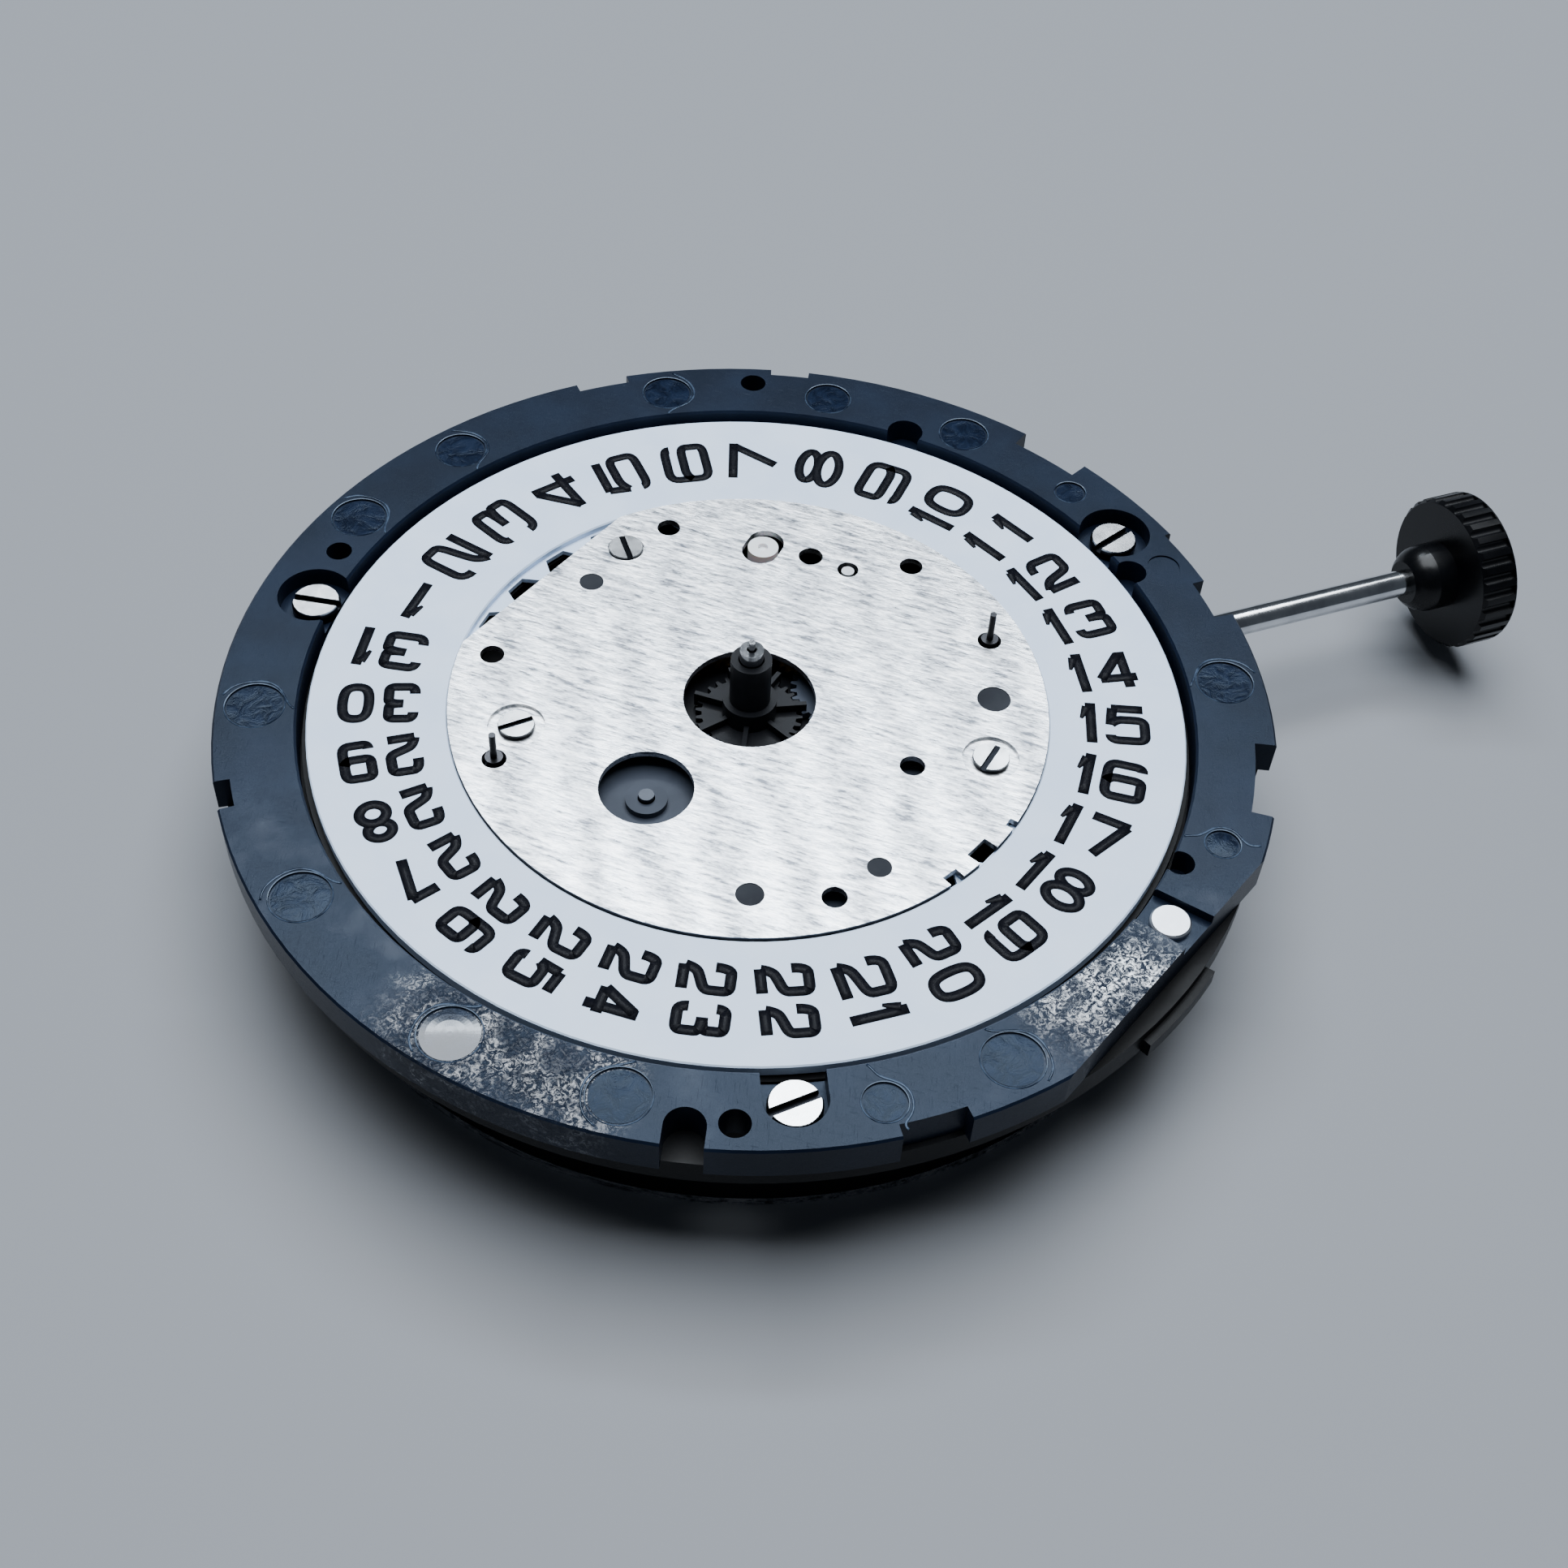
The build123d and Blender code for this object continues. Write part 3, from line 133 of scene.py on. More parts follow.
class Finish:
    # a material built round one Principled shader
    def __init__(self, name, **fixed):
        self.material = bpy.data.materials.new(name)
        self.material.use_nodes = True
        self.tree = self.material.node_tree
        self.tree.nodes.clear()
        self.surface = self.tree.nodes.new("ShaderNodeBsdfPrincipled")
        output = self.tree.nodes.new("ShaderNodeOutputMaterial")
        self.tree.links.new(self.surface.outputs[0], output.inputs["Surface"])
        self.place = self.node("ShaderNodeTexCoord", {}, {}, "Object")
        for key, value in fixed.items():
            self.set(key.replace("_", " "), value)

    def node(self, kind, settings, sockets, output=0):
        made = self.tree.nodes.new(kind)
        for key, value in settings.items():
            if key == "stops":
                self.setStops(made.color_ramp, value)
            else:
                setattr(made, key, value)
        for key, value in sockets.items():
            self.feed(self.pick(made.inputs, key), value)
        return Value(self, self.pick(made.outputs, output))

    def pick(self, sockets, key):
        if isinstance(key, int):
            return sockets[key]
        return next(s for s in sockets if s.name == key and s.enabled)

    def setStops(self, ramp, stops):
        while len(ramp.elements) < len(stops):
            ramp.elements.new(0.5)
        for element, (position, colour) in zip(ramp.elements, stops):
            element.position = position
            element.color = (*colour, 1)

    def feed(self, socket, value):
        if isinstance(value, Value):
            self.tree.links.new(value.socket, socket)
        elif socket.type == "RGBA" and len(value) == 3:
            socket.default_value = (*value, 1)
        else:
            socket.default_value = value

    def set(self, key, value):
        self.feed(self.surface.inputs[key], value)

    def mapped(self, scale=(1, 1, 1), turn=(0, 0, 0)):
        # the object's own coordinates in millimetres, turned, then stretched
        turned = self.node("ShaderNodeMapping", {}, {
            "Vector": self.place, "Rotation": tuple(math.radians(a) for a in turn)})
        return self.node("ShaderNodeMapping", {}, {
            "Vector": turned, "Scale": tuple(s / mm for s in scale)})

    def noise(self, size, detail=2.0, rough=0.5, where=None, distortion=0.0):
        # size is how many millimetres one blob takes
        where = where or self.mapped()
        return self.node("ShaderNodeTexNoise", {}, {
            "Vector": where, "Scale": 1 / size, "Detail": detail,
            "Roughness": rough, "Distortion": distortion})

    def mix(self, factor, first, second):
        sockets = {"Factor": factor, "A": first, "B": second}
        return self.node("ShaderNodeMix", {"data_type": "RGBA"}, sockets, "Result")

    def bump(self, height, depth, strength=1.0, under=None):
        # depth in millimetres for a height that runs from 0 to 1
        sockets = {"Height": height, "Distance": depth * mm, "Strength": strength}
        if under:
            sockets["Normal"] = under
        return self.node("ShaderNodeBump", {}, sockets)

    def axes(self, where=None):
        # x, y and z of a place in millimetres
        split = self.node("ShaderNodeSeparateXYZ", {}, {"Vector": where or self.mapped()}, "X")
        return [Value(self, socket) for socket in split.socket.node.outputs]


# finishes
def mouldedBlack(name, dark, light, roughness, grain=0.12, shine=0.12):
    # satin moulded plastic: slow shade changes, fine grain, a few rubbed scratches
    f = Finish(name, Specular_IOR_Level=shine)
    slow = f.noise(2.2, 3, 0.6)
    fine = f.noise(grain, 3, 0.65)
    rubbed = f.noise(0.5, 4, 0.7, f.mapped((3.5, 0.35, 1), (0, 0, 31))).band(0.58, 0.72)
    f.set("Base Color", f.mix(slow.band(0.3, 0.75), dark, light))
    f.set("Roughness", (roughness + (slow - 0.5) * 0.16 - rubbed * 0.08 + (fine - 0.5) * 0.1).clamped())
    f.set("Normal", f.bump(fine, 0.004, 0.6))
    return f


rubbedSpots = {
    # angle on the ring and reach in millimetres of the two glossy, crinkled stretches
    "radius": 14.2,
    "spots": [(219, 2.9), (232, 2.2), (292, 3.2)],
}


def ringPlastic():
    # navy black plastic with a blue sheen, fine scratches and two rubbed glossy stretches
    f = Finish("ring_plastic", Specular_IOR_Level=0.19, Coat_Roughness=0.08, Coat_IOR=1.9,
               Coat_Tint=(0.74, 0.86, 1.0, 1))
    slow = f.noise(2.6, 3, 0.6)
    fine = f.noise(0.07, 4, 0.7)
    crinkle = f.noise(0.2, 5, 0.75, distortion=1.8)
    scratchA = f.noise(0.16, 2, 0.6, f.mapped((6, 0.28, 1), (0, 0, 24))).band(0.62, 0.74)
    scratchB = f.noise(0.2, 2, 0.6, f.mapped((5, 0.3, 1), (0, 0, -52))).band(0.64, 0.76)
    x, y = f.axes()[:2]
    rubbed = 0.0
    for angle, reach in rubbedSpots["spots"]:
        spot = onCircle(rubbedSpots["radius"], angle)
        away = ((x - spot.x) ** 2.0 + (y - spot.y) ** 2.0) ** 0.5
        rubbed = (1 - away.band(reach * 0.35, reach)) + rubbed
    blobs = f.noise(1.1, 3, 0.6, distortion=0.8).band(0.42, 0.6)
    glossy = (rubbed * crinkle.band(0.46, 0.62) * (blobs * 0.85 + 0.15)).clamped()
    scratches = scratchA + scratchB
    f.set("Base Color", f.mix(slow.band(0.25, 0.8), (0.003, 0.0052, 0.0125), (0.007, 0.012, 0.026)))
    f.set("Roughness", (0.34 - glossy * 0.1 + (fine - 0.5) * 0.14 + scratches * 0.1).clamped())
    f.set("Coat Weight", (glossy + slow.band(0.5, 0.8) * 0.05).clamped())
    f.set("Specular Tint", (0.62, 0.78, 1.0))
    rough = f.bump(crinkle * (rubbed.clamped() + 0.12), 0.03, 0.9)
    f.set("Normal", f.bump(fine + scratches * 0.6, 0.003, 0.7, rough))
    return f


def datePaint():
    # smooth white lacquer with a faint cool mottling
    f = Finish("date_white", Specular_IOR_Level=0.3)
    slow = f.noise(1.7, 3, 0.55)
    fine = f.noise(0.05, 2, 0.5)
    f.set("Base Color", f.mix(slow.band(0.3, 0.7), (0.62, 0.76, 0.97), (0.68, 0.81, 1.0)))
    f.set("Roughness", (0.42 + (slow - 0.5) * 0.12 + (fine - 0.5) * 0.08).clamped())
    f.set("Normal", f.bump(fine, 0.0015, 0.5))
    return f


def dateInk():
    # black pad-printed ink, crinkled enough to glint
    f = Finish("date_ink", Specular_IOR_Level=0.07, Coat_Weight=0.03, Coat_Roughness=0.15)
    crinkle = f.noise(0.1, 4, 0.75, distortion=2.2)
    slow = f.noise(1.5, 2, 0.5)
    f.set("Base Color", f.mix(crinkle.band(0.5, 0.8), (0.0045, 0.005, 0.008), (0.03, 0.03, 0.032)))
    f.set("Roughness", (0.28 + (slow - 0.5) * 0.2).clamped())
    f.set("Normal", f.bump(crinkle, 0.02, 0.8))
    return f


plateEdgeShade = {
    # painted shade on the plate's cut edge: outside this radius and below the brushed face the colour
    # goes dark, in millimetres
    "radius": 8.6,
    "fade": 0.1,
    "below": 0.03,
}


def brushedPlate(name, top=None):
    # nickel plate: short bright and dark brush strokes one way, wavy bands across them
    # top, when given, is the height of the brushed face; the cut outer edge below it gets a painted
    # shade
    f = Finish(name, Metallic=1.0)
    strokes = f.noise(0.2, 4, 0.72, f.mapped((0.17, 1.0, 1), (0, 0, 40)), 0.15)
    short = f.noise(0.11, 3, 0.7, f.mapped((0.3, 1, 1), (0, 0, 40)))
    flecks = f.noise(0.3, 3, 0.7, f.mapped((0.22, 1, 1), (0, 0, 36))).band(0.6, 0.72)
    across = f.axes(f.mapped((1, 1, 1), (0, 0, 12)))[0]
    wander = f.noise(2.6, 2, 0.5)
    bands = (across * 3.4 + wander * 7.0).sine() * 0.5 + 0.5
    lines = (strokes - 0.5) * 1.5 + (short - 0.5) * 1.1
    shade = (0.5 + lines * 1.5 + (bands - 0.5) * 0.24 - flecks * 0.2).clamped()
    metal = f.node("ShaderNodeValToRGB", {"stops": [
        (0.0, (0.14, 0.15, 0.17)), (0.5, (0.6, 0.62, 0.65)), (0.95, (1.0, 1.0, 1.0))]}, {"Fac": shade})
    if top:
        # painted shade: outside the radius and just below the top the colour is mixed to near black
        x, y, z = f.axes()
        low = plateEdgeShade["radius"]
        outside = (x * x + y * y).band(low ** 2, (low + plateEdgeShade["fade"]) ** 2)
        edge = outside * (1 - z.band(top - plateEdgeShade["below"], top - 0.01))
        metal = f.mix(edge, metal, (0.03, 0.032, 0.04))
    f.set("Base Color", metal)
    f.set("Roughness", (0.4 + lines * 0.16 - bands * 0.08).clamped())
    f.set("Normal", f.bump(lines, 0.012, 0.5))
    return f


def brightSteel(name, colour, roughness, slotShadeTop=None):
    # turned or polished steel: faint tool lines, smears in the roughness
    # the last argument is the height of the screw heads; below it, in the slots, the steel is darkened
    # as painted shade
    f = Finish(name, Metallic=1.0)
    smear = f.noise(0.9, 4, 0.65)
    fine = f.noise(0.06, 3, 0.6, f.mapped((1, 4, 1), (0, 0, 20)))
    dim = tuple(c * 0.78 for c in colour)
    metal = f.mix(smear.band(0.35, 0.7), dim, colour)
    if slotShadeTop:
        # painted shade: 1 on the head top, falling to 0 in the slot where the colour goes near black
        clearOfSlotShade = f.axes()[2].band(slotShadeTop - 0.06, slotShadeTop - 0.02)
        metal = f.mix(clearOfSlotShade, (0.012, 0.013, 0.016), metal)
    f.set("Base Color", metal)
    f.set("Roughness", (roughness + (smear - 0.5) * 0.14 + (fine - 0.5) * 0.1).clamped())
    f.set("Normal", f.bump(fine, 0.002, 0.25))
    return f


def stemChrome():
    # ground and polished round bar: lines round its axis
    f = Finish("stem_chrome", Metallic=1.0)
    smear = f.noise(1.1, 3, 0.6)
    lines = f.noise(0.5, 3, 0.6, f.mapped((14, 1, 1)))
    f.set("Base Color", f.mix(smear.band(0.3, 0.7), (0.62, 0.64, 0.67), (0.84, 0.86, 0.88)))
    f.set("Roughness", (0.13 + (smear - 0.5) * 0.08 + (lines - 0.5) * 0.08).clamped())
    f.set("Normal", f.bump(lines, 0.002, 0.35))
    return f


def crownBlack():
    # deep black coating, semi gloss, slightly rubbed
    f = Finish("crown_black", Specular_IOR_Level=0.2, Coat_Weight=0.12, Coat_Roughness=0.2)
    smear = f.noise(1.3, 4, 0.65)
    fine = f.noise(0.06, 3, 0.6)
    f.set("Base Color", f.mix(smear.band(0.35, 0.7), (0.0012, 0.0014, 0.002), (0.003, 0.0034, 0.0046)))
    f.set("Roughness", (0.3 + (smear - 0.5) * 0.2 + (fine - 0.5) * 0.08).clamped())
    f.set("Normal", f.bump(fine, 0.003, 0.5))
    return f


def copperWire():
    # enamelled wire wound close: the turns show as ridges
    f = Finish("copper_wire", Metallic=0.85, Coat_Weight=0.6, Coat_Roughness=0.15)
    smear = f.noise(0.8, 2, 0.5)
    turns = f.noise(0.12, 1, 0.4, f.mapped((6, 1, 1), (0, 0, 40)))
    f.set("Base Color", f.mix(smear, (0.5, 0.17, 0.06), (0.78, 0.36, 0.15)))
    f.set("Roughness", (0.3 + (turns - 0.5) * 0.2).clamped())
    f.set("Normal", f.bump(turns, 0.01, 0.7))
    return f


def boardGreen():
    # lacquered board: woven glass under the lacquer
    f = Finish("board", Coat_Weight=0.5, Coat_Roughness=0.2)
    x, y = f.axes()[:2]
    weave = (x * 14.0).sine() * (y * 14.0).sine() * 0.5 + 0.5
    f.set("Base Color", f.mix(weave, (0.012, 0.075, 0.035), (0.022, 0.12, 0.055)))
    f.set("Roughness", (0.42 + f.noise(0.8) * 0.15).clamped())
    f.set("Normal", f.bump(weave, 0.004, 0.4))
    return f


def whitePlastic():
    # translucent white nylon
    f = Finish("white_plastic", Subsurface_Weight=0.15, Subsurface_Scale=0.0006)
    slow = f.noise(0.5, 2, 0.5)
    f.set("Base Color", f.mix(slow, (0.82, 0.84, 0.86), (0.92, 0.93, 0.94)))
    f.set("Roughness", (0.3 + slow * 0.15).clamped())
    f.set("Normal", f.bump(slow, 0.01, 0.3))
    return f


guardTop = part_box("date_guard")[1].z / mm
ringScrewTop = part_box("ring_screws")[1].z / mm
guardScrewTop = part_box("guard_screws")[1].z / mm

# the finish of each material slot, and below it the nodes that have their own
finishes = {
    "black_plastic": mouldedBlack("black_plastic", (0.002, 0.0023, 0.003), (0.004, 0.0045, 0.006), 0.42),
    "ring_plastic": ringPlastic(),
    "plated_metal": brushedPlate("plated_metal"),
    "steel": brightSteel("steel", (0.86, 0.87, 0.88), 0.3),
    "dark_plug": mouldedBlack("dark_plug", (0.009, 0.011, 0.016), (0.03, 0.034, 0.042), 0.6, 0.1),
    "white_plastic": whitePlastic(),
    "date_white": datePaint(),
    "brass": brightSteel("brass", (0.8, 0.62, 0.3), 0.3),
    "black_wheel": mouldedBlack("black_wheel", (0.005, 0.0055, 0.007), (0.012, 0.013, 0.016),
                                0.36, 0.06),
    "grey_wheel": mouldedBlack("grey_wheel", (0.028, 0.035, 0.05), (0.045, 0.055, 0.075), 0.4, 0.06),
    "copper_wire": copperWire(),
    "soft_iron": brightSteel("soft_iron", (0.55, 0.55, 0.57), 0.42),
    "magnet": brightSteel("magnet", (0.25, 0.25, 0.27), 0.38),
    "board": boardGreen(),
    "chip_resin": mouldedBlack("chip_resin", (0.006, 0.006, 0.007), (0.014, 0.014, 0.015), 0.5),
    "cell_steel": brightSteel("cell_steel", (0.84, 0.85, 0.86), 0.22),
    "crown_black": crownBlack(),
}
special = {
    "winding_stem": stemChrome(),
    "minute_pipe": brightSteel("pipe_polished", (0.72, 0.73, 0.75), 0.12),
    "date_guard": brushedPlate("guard_plate", guardTop),
    "ring_screws": brightSteel("screw_bright", (0.9, 0.91, 0.92), 0.27, ringScrewTop),
    "guard_screws": brightSteel("screw_polished", (0.9, 0.91, 0.92), 0.2, guardScrewTop),
    "ring_rivet": brightSteel("rivet_satin", (0.72, 0.75, 0.8), 0.4),
    "wheel_posts": brightSteel("steel_blackened", (0.05, 0.055, 0.065), 0.35),
    "minute_counter_wheel": brightSteel("arbor_blackened", (0.06, 0.06, 0.065), 0.3),
    "day_wheel": brightSteel("arbor_dark", (0.06, 0.06, 0.065), 0.3),
    "chrono_seconds_wheel": brightSteel("arbor_polished", (0.75, 0.76, 0.78), 0.15),
    "banking_pin": brightSteel("pin_satin", (0.5, 0.51, 0.53), 0.35),
}


def paint(piece, finish):
    piece.data.materials.clear()
    piece.data.materials.append(finish.material)


for part in frame["record"]["subparts"]:
    node = part["node"]
    paint(nodes[node], special.get(node, finishes[part["material_slot"]]))
print("finishes set")


# new pieces
def addPiece(name, mesh, body, finish):
    piece = bpy.data.objects.new(name, mesh)
    bpy.context.scene.collection.objects.link(piece)
    paint(piece, finish)
    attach(piece, body)


def ribbon(strokes, width):
    # flat strips along smooth centre lines, as a curve whose points are tilted flat
    curve = bpy.data.curves.new("ribbon", "CURVE")
    curve.dimensions = "3D"
    curve.resolution_u = 5
    curve.extrude = width / 2
    curve.use_fill_caps = False
    for closed, points in strokes:
        spline = curve.splines.new("NURBS")
        spline.points.add(len(points) - 1)
        for point, (x, y, z, radius) in zip(spline.points, points):
            point.co = (x, y, z, 1)
            point.radius = radius
            point.tilt = math.radians(90)
        spline.order_u = 3
        spline.use_cyclic_u = closed
        spline.use_endpoint_u = not closed
    holder = bpy.data.objects.new("ribbon", curve)
    mesh = bpy.data.meshes.new_from_object(holder)
    bpy.data.objects.remove(holder)
    bpy.data.curves.remove(curve)
    return mesh


def thickened(meshes, thickness):
    # joins flat meshes, faces them up and gives them a body below
    bm = bmesh.new()
    for mesh in meshes:
        bm.from_mesh(mesh)
        bpy.data.meshes.remove(mesh)
    bmesh.ops.remove_doubles(bm, verts=bm.verts, dist=0.0005 * mm)
    down = [face for face in bm.faces if face.normal.z < 0]
    bmesh.ops.reverse_faces(bm, faces=down)
    bmesh.ops.solidify(bm, geom=bm.faces[:], thickness=thickness * mm)
    bmesh.ops.recalc_face_normals(bm, faces=bm.faces[:])
    joined = bpy.data.meshes.new("joined")
    bm.to_mesh(joined)
    bm.free()
    return joined


# date numerals
numerals = {
    "radius": 10.76,
    "height": 1.58,
    "loneWidth": 1.88,
    "besideOneWidth": 1.33,
    "pairWidth": 1.07,
    "oneWidth": 0.42,
    "stroke": 0.305,
    "pairStroke": 0.315,
    "pairGap": 0.24,
    "oneGap": 0.3,
    "thickness": 0.012,
    # crossing strokes lie this much above each other
    "lift": 0.001,
    # the day that stands at angle 0
    "dayAtZero": 13,
}


def loop(left, low, right, high, cut):
    # a closed run round a box with its corners cut
    across = (right - left) * cut
    up = (high - low) * cut
    return True, [(left + across, low), (right - across, low), (right, low + up), (right, high - up),
                  (right - across, high), (left + across, high), (left, high - up), (left, low + up)]


# centre lines in a box one wide and one high
digitLines = {
    "0": [loop(0, 0, 1, 1, 0.22)],
    "2": [(False, [(0, 0.66), (0.0, 1), (0.5, 1), (1, 1), (1, 0.7), (1, 0.46), (0.5, 0.36),
                   (0.1, 0.26), (0, 0.02)]),
          (False, [(-0.02, 0), (1.02, 0)])],
    "3": [(False, [(0.02, 0.8), (0.02, 1), (0.5, 1), (0.96, 1), (0.96, 0.77), (0.96, 0.53),
                   (0.42, 0.53)]),
          (False, [(0.42, 0.53), (1, 0.53), (1, 0.27), (1, 0), (0.5, 0), (0, 0), (0, 0.22)])],
    "4": [(False, [(0.78, -0.08), (0.78, 1.08)]), (False, [(-0.03, 0.24), (1.08, 0.24)]),
          (False, [(0.72, 1.0), (0.0, 0.24)])],
    "5": [(False, [(0.06, 1), (0.98, 1)]), (False, [(0.09, 1.0), (0.02, 0.47)]),
          (False, [(0.02, 0.5), (0.2, 0.65), (0.52, 0.65), (1, 0.65), (1, 0.33), (1, 0), (0.5, 0),
                   (0, 0), (0, 0.16)])],
    "6": [(False, [(0.97, 0.86), (0.97, 1), (0.52, 1), (0, 1), (0, 0.5), (0, 0), (0.52, 0), (1, 0),
                   (1, 0.3), (1, 0.57), (0.52, 0.57), (0.1, 0.57), (0, 0.42)])],
    "7": [(False, [(-0.04, 1), (1.04, 1)]), (False, [(0.97, 1.0), (0.4, -0.07)])],
    "8": [loop(0.05, 0.54, 0.95, 1, 0.3), loop(0, 0, 1, 0.54, 0.3)],
}
digitLines["9"] = [(closed, [(1 - x, 1 - y) for x, y in line]) for closed, line in digitLines["6"]]


def digitStrokes(digit, left, width, stroke):
    # the digit's centre lines in millimetres, its left side at left, its middle at height 0
    tall = numerals["height"]
    lift = numerals["lift"]
    if digit == "1":
        stem = left + width - stroke / 2
        flag = stem - stroke / 2
        return [(False, [(stem, -tall / 2, 0, 1), (stem, tall / 2, 0, 1)]),
                (False, [(flag + 0.05, tall * 0.4, lift, 0.9), (flag - 0.02, tall * 0.26, lift, 0.75),
                         (left - 0.02, tall * 0.1, lift, 0.3)])]
    strokes = []
    for index, (closed, line) in enumerate(digitLines[digit]):
        points = []
        for x, y in line:
            along = left + stroke / 2 + x * (width - stroke)
            points.append((along, (y - 0.5) * (tall - stroke), index * lift, 1))
        strokes.append((closed, points))
    return strokes


def numeralMesh(day):
    digits = str(day)
    stroke = numerals["stroke"] if len(digits) == 1 else numerals["pairStroke"]
    if len(digits) == 1:
        wide, gapWidth = numerals["loneWidth"], 0
    elif digits == "11":
        wide, gapWidth = numerals["oneWidth"], numerals["besideOneWidth"] - numerals["oneWidth"]
    elif "1" in digits:
        wide = numerals["besideOneWidth"]
        gapWidth = numerals["pairGap"] if digits[0] == "1" else numerals["oneGap"]
    else:
        wide, gapWidth = numerals["pairWidth"], numerals["pairGap"]
    widths = [numerals["oneWidth"] if digit == "1" else wide for digit in digits]
    left = -(sum(widths) + gapWidth * (len(digits) - 1)) / 2
    strokes = []
    for digit, width in zip(digits, widths):
        strokes += digitStrokes(digit, left, width, stroke)
        left += width + gapWidth
    mesh = ribbon(strokes, stroke)
    angle = (numerals["dayAtZero"] - day) * 360 / 31
    place = onCircle(numerals["radius"], angle) + Vector((0, 0, dateTop + numerals["thickness"]))
    turned = Matrix.Rotation(math.radians(angle), 4, "Z")
    mesh.transform(Matrix.Scale(mm, 4) @ Matrix.Translation(place) @ turned)
    return mesh


numeralMeshes = [numeralMesh(day) for day in range(1, 32)]
numeralBody = thickened(numeralMeshes, numerals["thickness"])
addPiece("date_numerals", numeralBody, "date_ring", dateInk())
print("numerals made")


# round moulding marks in the ring's top
marks = {
    "depth": 0.05,
    "rim": 0.05,
    "gap": 0.06,
    "segments": 40,
    # reach from the middle, angle, own radius, how far the face domes up
    "list": [(14.25, 163.6, 0.85, 0.0), (14.25, 193.2, 0.85, 0.01), (14.25, 218, 0.85, 0.045),
             (14.2, 237, 0.85, 0.02), (14.3, 263.9, 0.6, 0.0), (14.25, 278.3, 0.85, 0.02),
             (14.2, 344.2, 0.85, 0.0), (14.2, 318.3, 0.5, 0.02), (14.2, 111.5, 0.8, 0.0),
             (14.25, 129.3, 0.85, 0.0), (14.2, 81.5, 0.8, 0.0), (14.1, 59.5, 0.75, 0.0),
             (14.1, 40, 0.8, 0.0), (14.0, 22.4, 0.5, 0.0)],
    # reach and angle of the polished one, and where its coat fades out, in square millimetres
    "polished": (14.25, 218),
    "coatFade": (0.8, 1.1),
}


def turnedPiece(bm, centre, profile, closed):
    # spins a profile of radii and heights a full turn round an upright axis at centre
    start = [bm.verts.new((centre + Vector((radius, 0, height))) * mm) for radius, height in profile]
    edges = [bm.edges.new(pair) for pair in zip(start, start[1:])]
    if closed:
        edges.append(bm.edges.new((start[-1], start[0])))
    bmesh.ops.spin(bm, geom=start + edges, cent=centre * mm, axis=(0, 0, 1), angle=math.tau,
                   steps=marks["segments"], use_merge=True)


def meshFrom(bm, name):
    bmesh.ops.recalc_face_normals(bm, faces=bm.faces[:])
    mesh = bpy.data.meshes.new(name)
    bm.to_mesh(mesh)
    bm.free()
    return mesh


def markFaces():
    # a shallow domed face inside each mark
    bm = bmesh.new()
    for reach, angle, own, dome in marks["list"]:
        base = ringTop - marks["depth"]
        edge = own - marks["gap"]
        profile = [(edge, base - 0.01)]
        for share in (1.0, 0.8, 0.55, 0.3, 0.1):
            profile.append((edge * share, base + 0.012 + dome * (1 - share ** 2)))
        turnedPiece(bm, onCircle(reach, angle), profile, False)
    # the open rings below and in the middle of each face
    bmesh.ops.holes_fill(bm, edges=[edge for edge in bm.edges if edge.is_boundary])
    return meshFrom(bm, "mark_faces")


def markRims():
    # the raised lip round each mark, which takes the finish with the painted highlight
    bm = bmesh.new()
    for reach, angle, own, dome in marks["list"]:
        outer = own + marks["rim"]
        lip = [(own, -0.02), (own, 0.008), ((own + outer) / 2, 0.014), (outer, -0.02)]
        profile = [(radius, ringTop + height) for radius, height in lip]
        turnedPiece(bm, onCircle(reach, angle), profile, True)
    return meshFrom(bm, "mark_rims")


def rimFinish():
    # the same plastic, painted paler in patches as a highlight on the lips and seams
    f = Finish("ring_rims_painted_highlight", Specular_IOR_Level=0.4, Specular_Tint=(0.7, 0.84, 1.0, 1))
    highlightPatches = f.noise(0.5, 3, 0.6)
    f.set("Base Color", f.mix(highlightPatches.band(0.35, 0.65), (0.006, 0.011, 0.024), (0.05, 0.075, 0.12)))
    f.set("Roughness", (0.26 + (highlightPatches - 0.5) * 0.2).clamped())
    return f


def markFaceFinish():
    # dark smooth plastic with smears; the polished one has a coat
    f = Finish("ring_marks", Specular_IOR_Level=0.14, Specular_Tint=(0.6, 0.78, 1.0, 1),
               Coat_Roughness=0.12, Coat_IOR=1.6)
    smear = f.noise(0.6, 4, 0.7, distortion=1.2)
    fine = f.noise(0.05, 3, 0.7)
    f.set("Base Color", f.mix(smear.band(0.3, 0.7), (0.002, 0.004, 0.011), (0.006, 0.012, 0.03)))
    x, y = f.axes()[:2]
    polished = onCircle(*marks["polished"])
    away = (x - polished.x) ** 2.0 + (y - polished.y) ** 2.0
    f.set("Coat Weight", 1 - away.band(*marks["coatFade"]))
    f.set("Roughness", (0.24 + (smear - 0.5) * 0.24 + (fine - 0.5) * 0.08).clamped())
    f.set("Normal", f.bump(smear, 0.03, 0.7))
    return f


ringRimsHighlight = rimFinish()
addPiece("ring_mark_faces", markFaces(), "root", markFaceFinish())
addPiece("ring_mark_rims", markRims(), "root", ringRimsHighlight)
print("marks made")


# seams on the ring's top, each passing one mark
seams = {
    "width": 0.06,
    "height": 0.014,
    "inner": 13.12,
    "outer": 15.2,
    "clear": 0.12,
    "lean": 0.25,
    "shares": (-1, -0.85, -0.6, -0.3, 0, 0.3, 0.6, 0.85, 1),
    # index of the mark and the side it is passed on
    "passing": [(0, -1), (1, -1), (2, -1), (3, -1), (4, 1), (5, 1), (6, 1), (7, 1), (8, -1),
                (9, -1), (10, -1)],
}


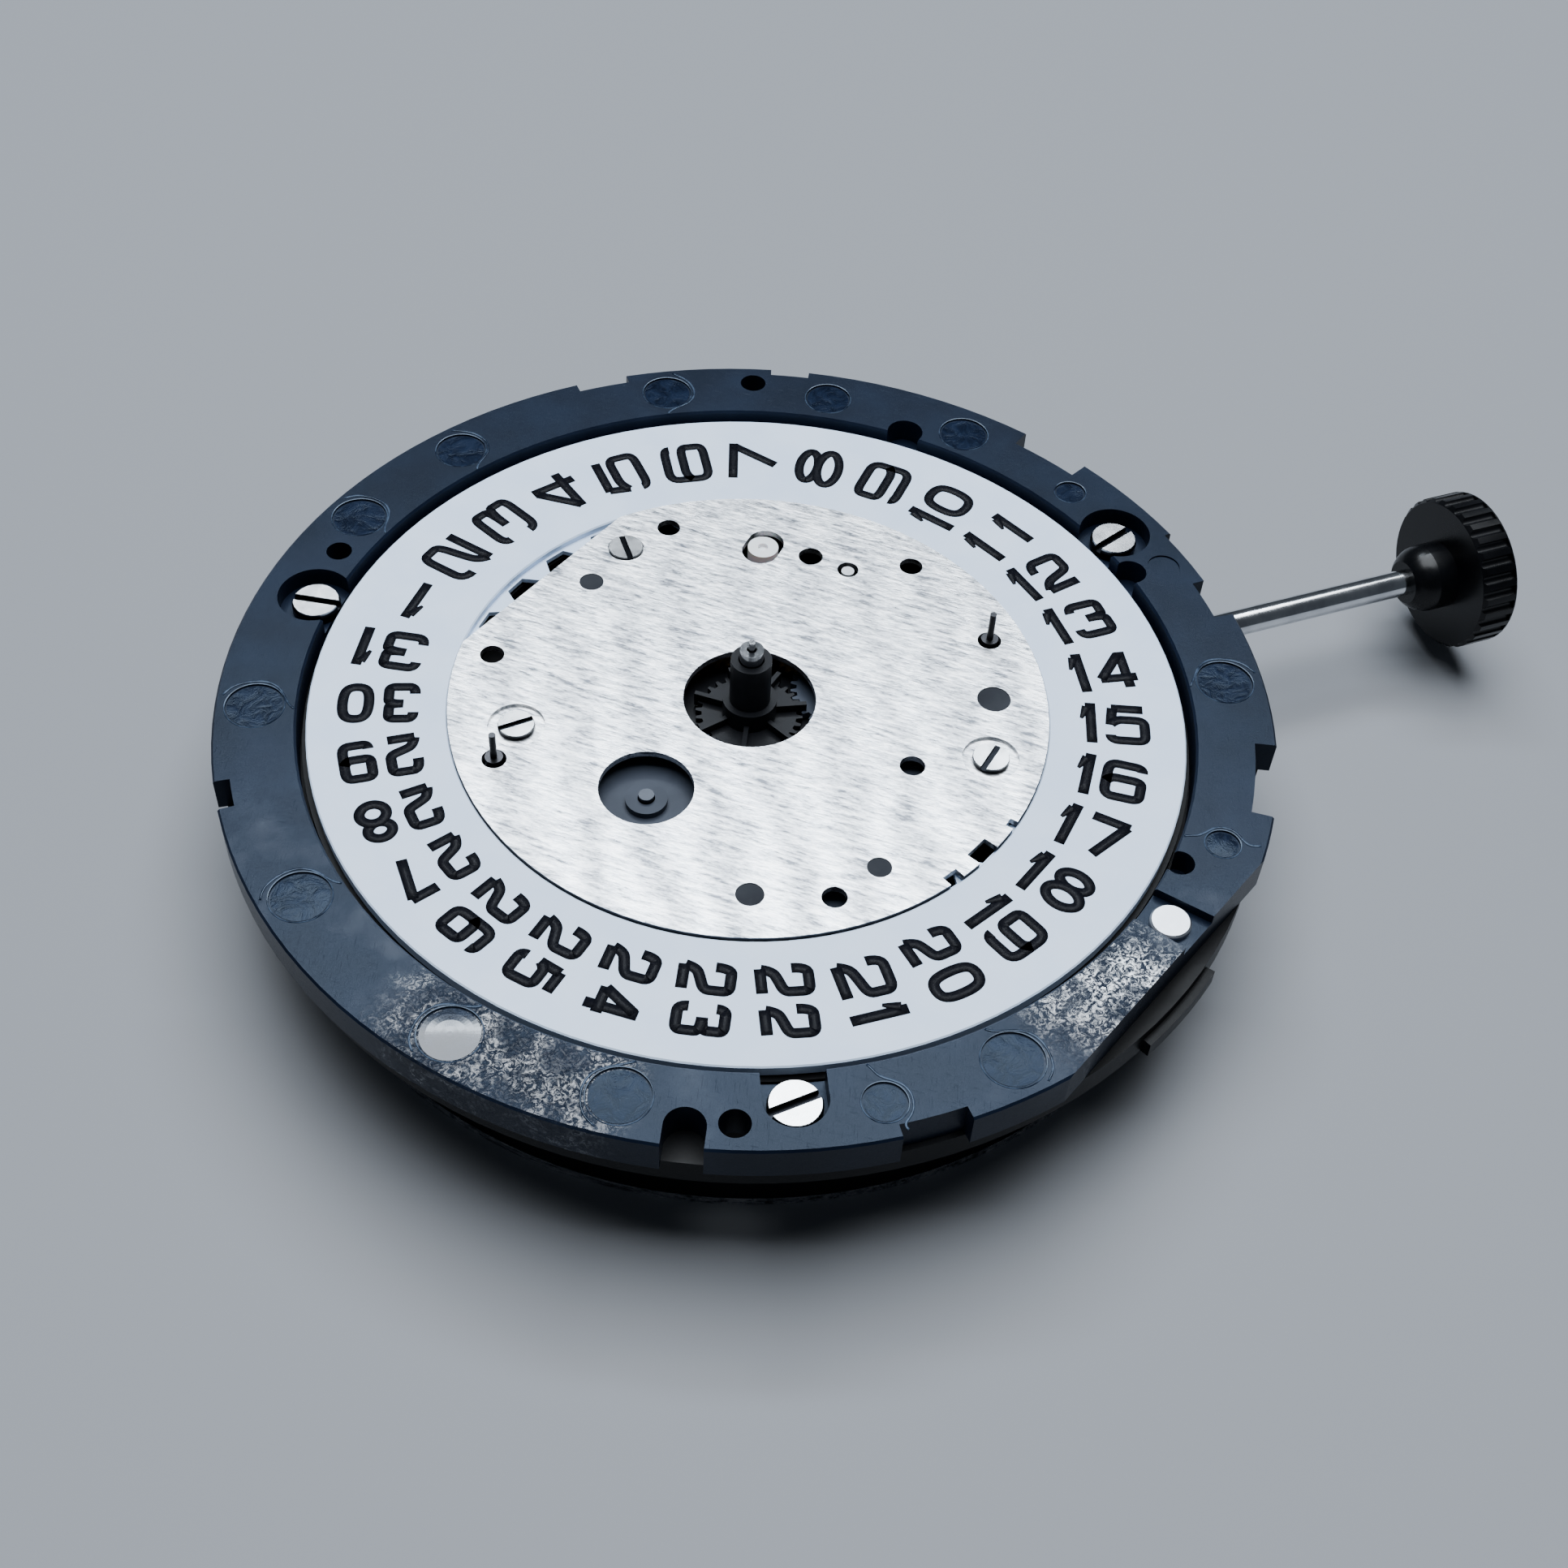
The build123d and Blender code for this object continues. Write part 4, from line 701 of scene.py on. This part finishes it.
def seamMesh(mark, side):
    # runs outward across the ring and bends round its mark
    reach, angle, own = mark[:3]
    bend = own + seams["clear"]
    middle = (seams["inner"] + seams["outer"]) / 2
    half = (seams["outer"] - seams["inner"]) / 2
    points = []
    for share in seams["shares"]:
        radius = middle + share * half
        beside = math.sqrt(max(bend ** 2 - (radius - reach) ** 2, 0.01))
        turned = angle + side * math.degrees((beside + seams["lean"] * share ** 3) / radius)
        spot = onCircle(radius, turned)
        points.append((spot.x, spot.y, ringTop + seams["height"], 1))
    mesh = ribbon([(False, points)], seams["width"])
    mesh.transform(Matrix.Scale(mm, 4))
    return mesh


seamMeshes = [seamMesh(marks["list"][index], side) for index, side in seams["passing"]]
# the seams take the rims' finish, with its painted highlight
addPiece("ring_seams", thickened(seamMeshes, seams["height"] * 2), "root", ringRimsHighlight)
print("seams made")


# floor and light
floor = {"half": 600, "colour": (0.23, 0.24, 0.26), "roughness": 0.62}


def makeFloor():
    bm = bmesh.new()
    bmesh.ops.create_grid(bm, x_segments=1, y_segments=1, size=floor["half"] * mm)
    mesh = bpy.data.meshes.new("floor")
    bm.to_mesh(mesh)
    bm.free()
    piece = bpy.data.objects.new("floor", mesh)
    bpy.context.scene.collection.objects.link(piece)
    f = Finish("floor_matte", Specular_IOR_Level=0.35, Roughness=floor["roughness"])
    f.set("Base Color", floor["colour"])
    paint(piece, f)


makeFloor()

# direction by azimuth and elevation, distance and size in millimetres, power in watts
lamps = {
    "window": (68, 77, 300, 290, 250, 1.9, (0.9, 0.95, 1.0)),
    "strip": (68, 54, 330, 220, 26, 0.4, (0.8, 0.9, 1.0)),
}
sky = {"colour": (0.52, 0.6, 0.72, 1), "strength": 0.1}


def makeLamps():
    for name, (azimuth, elevation, distance, wide, tall, power, colour) in lamps.items():
        data = bpy.data.lights.new(name, "AREA")
        data.shape = "RECTANGLE"
        data.size = wide * mm
        data.size_y = tall * mm
        data.energy = power
        data.color = colour
        lamp = bpy.data.objects.new(name, data)
        bpy.context.scene.collection.objects.link(lamp)
        tilt = math.radians(elevation)
        away = onCircle(math.cos(tilt), azimuth) + Vector((0, 0, math.sin(tilt)))
        lamp.location = away * distance * mm
        lamp.rotation_euler = (-away).to_track_quat("-Z", "Y").to_euler()
    world = bpy.data.worlds.new("studio")
    bpy.context.scene.world = world
    world.use_nodes = True
    backdrop = world.node_tree.nodes["Background"]
    backdrop.inputs["Color"].default_value = sky["colour"]
    backdrop.inputs["Strength"].default_value = sky["strength"]


makeLamps()
print("floor and light placed")
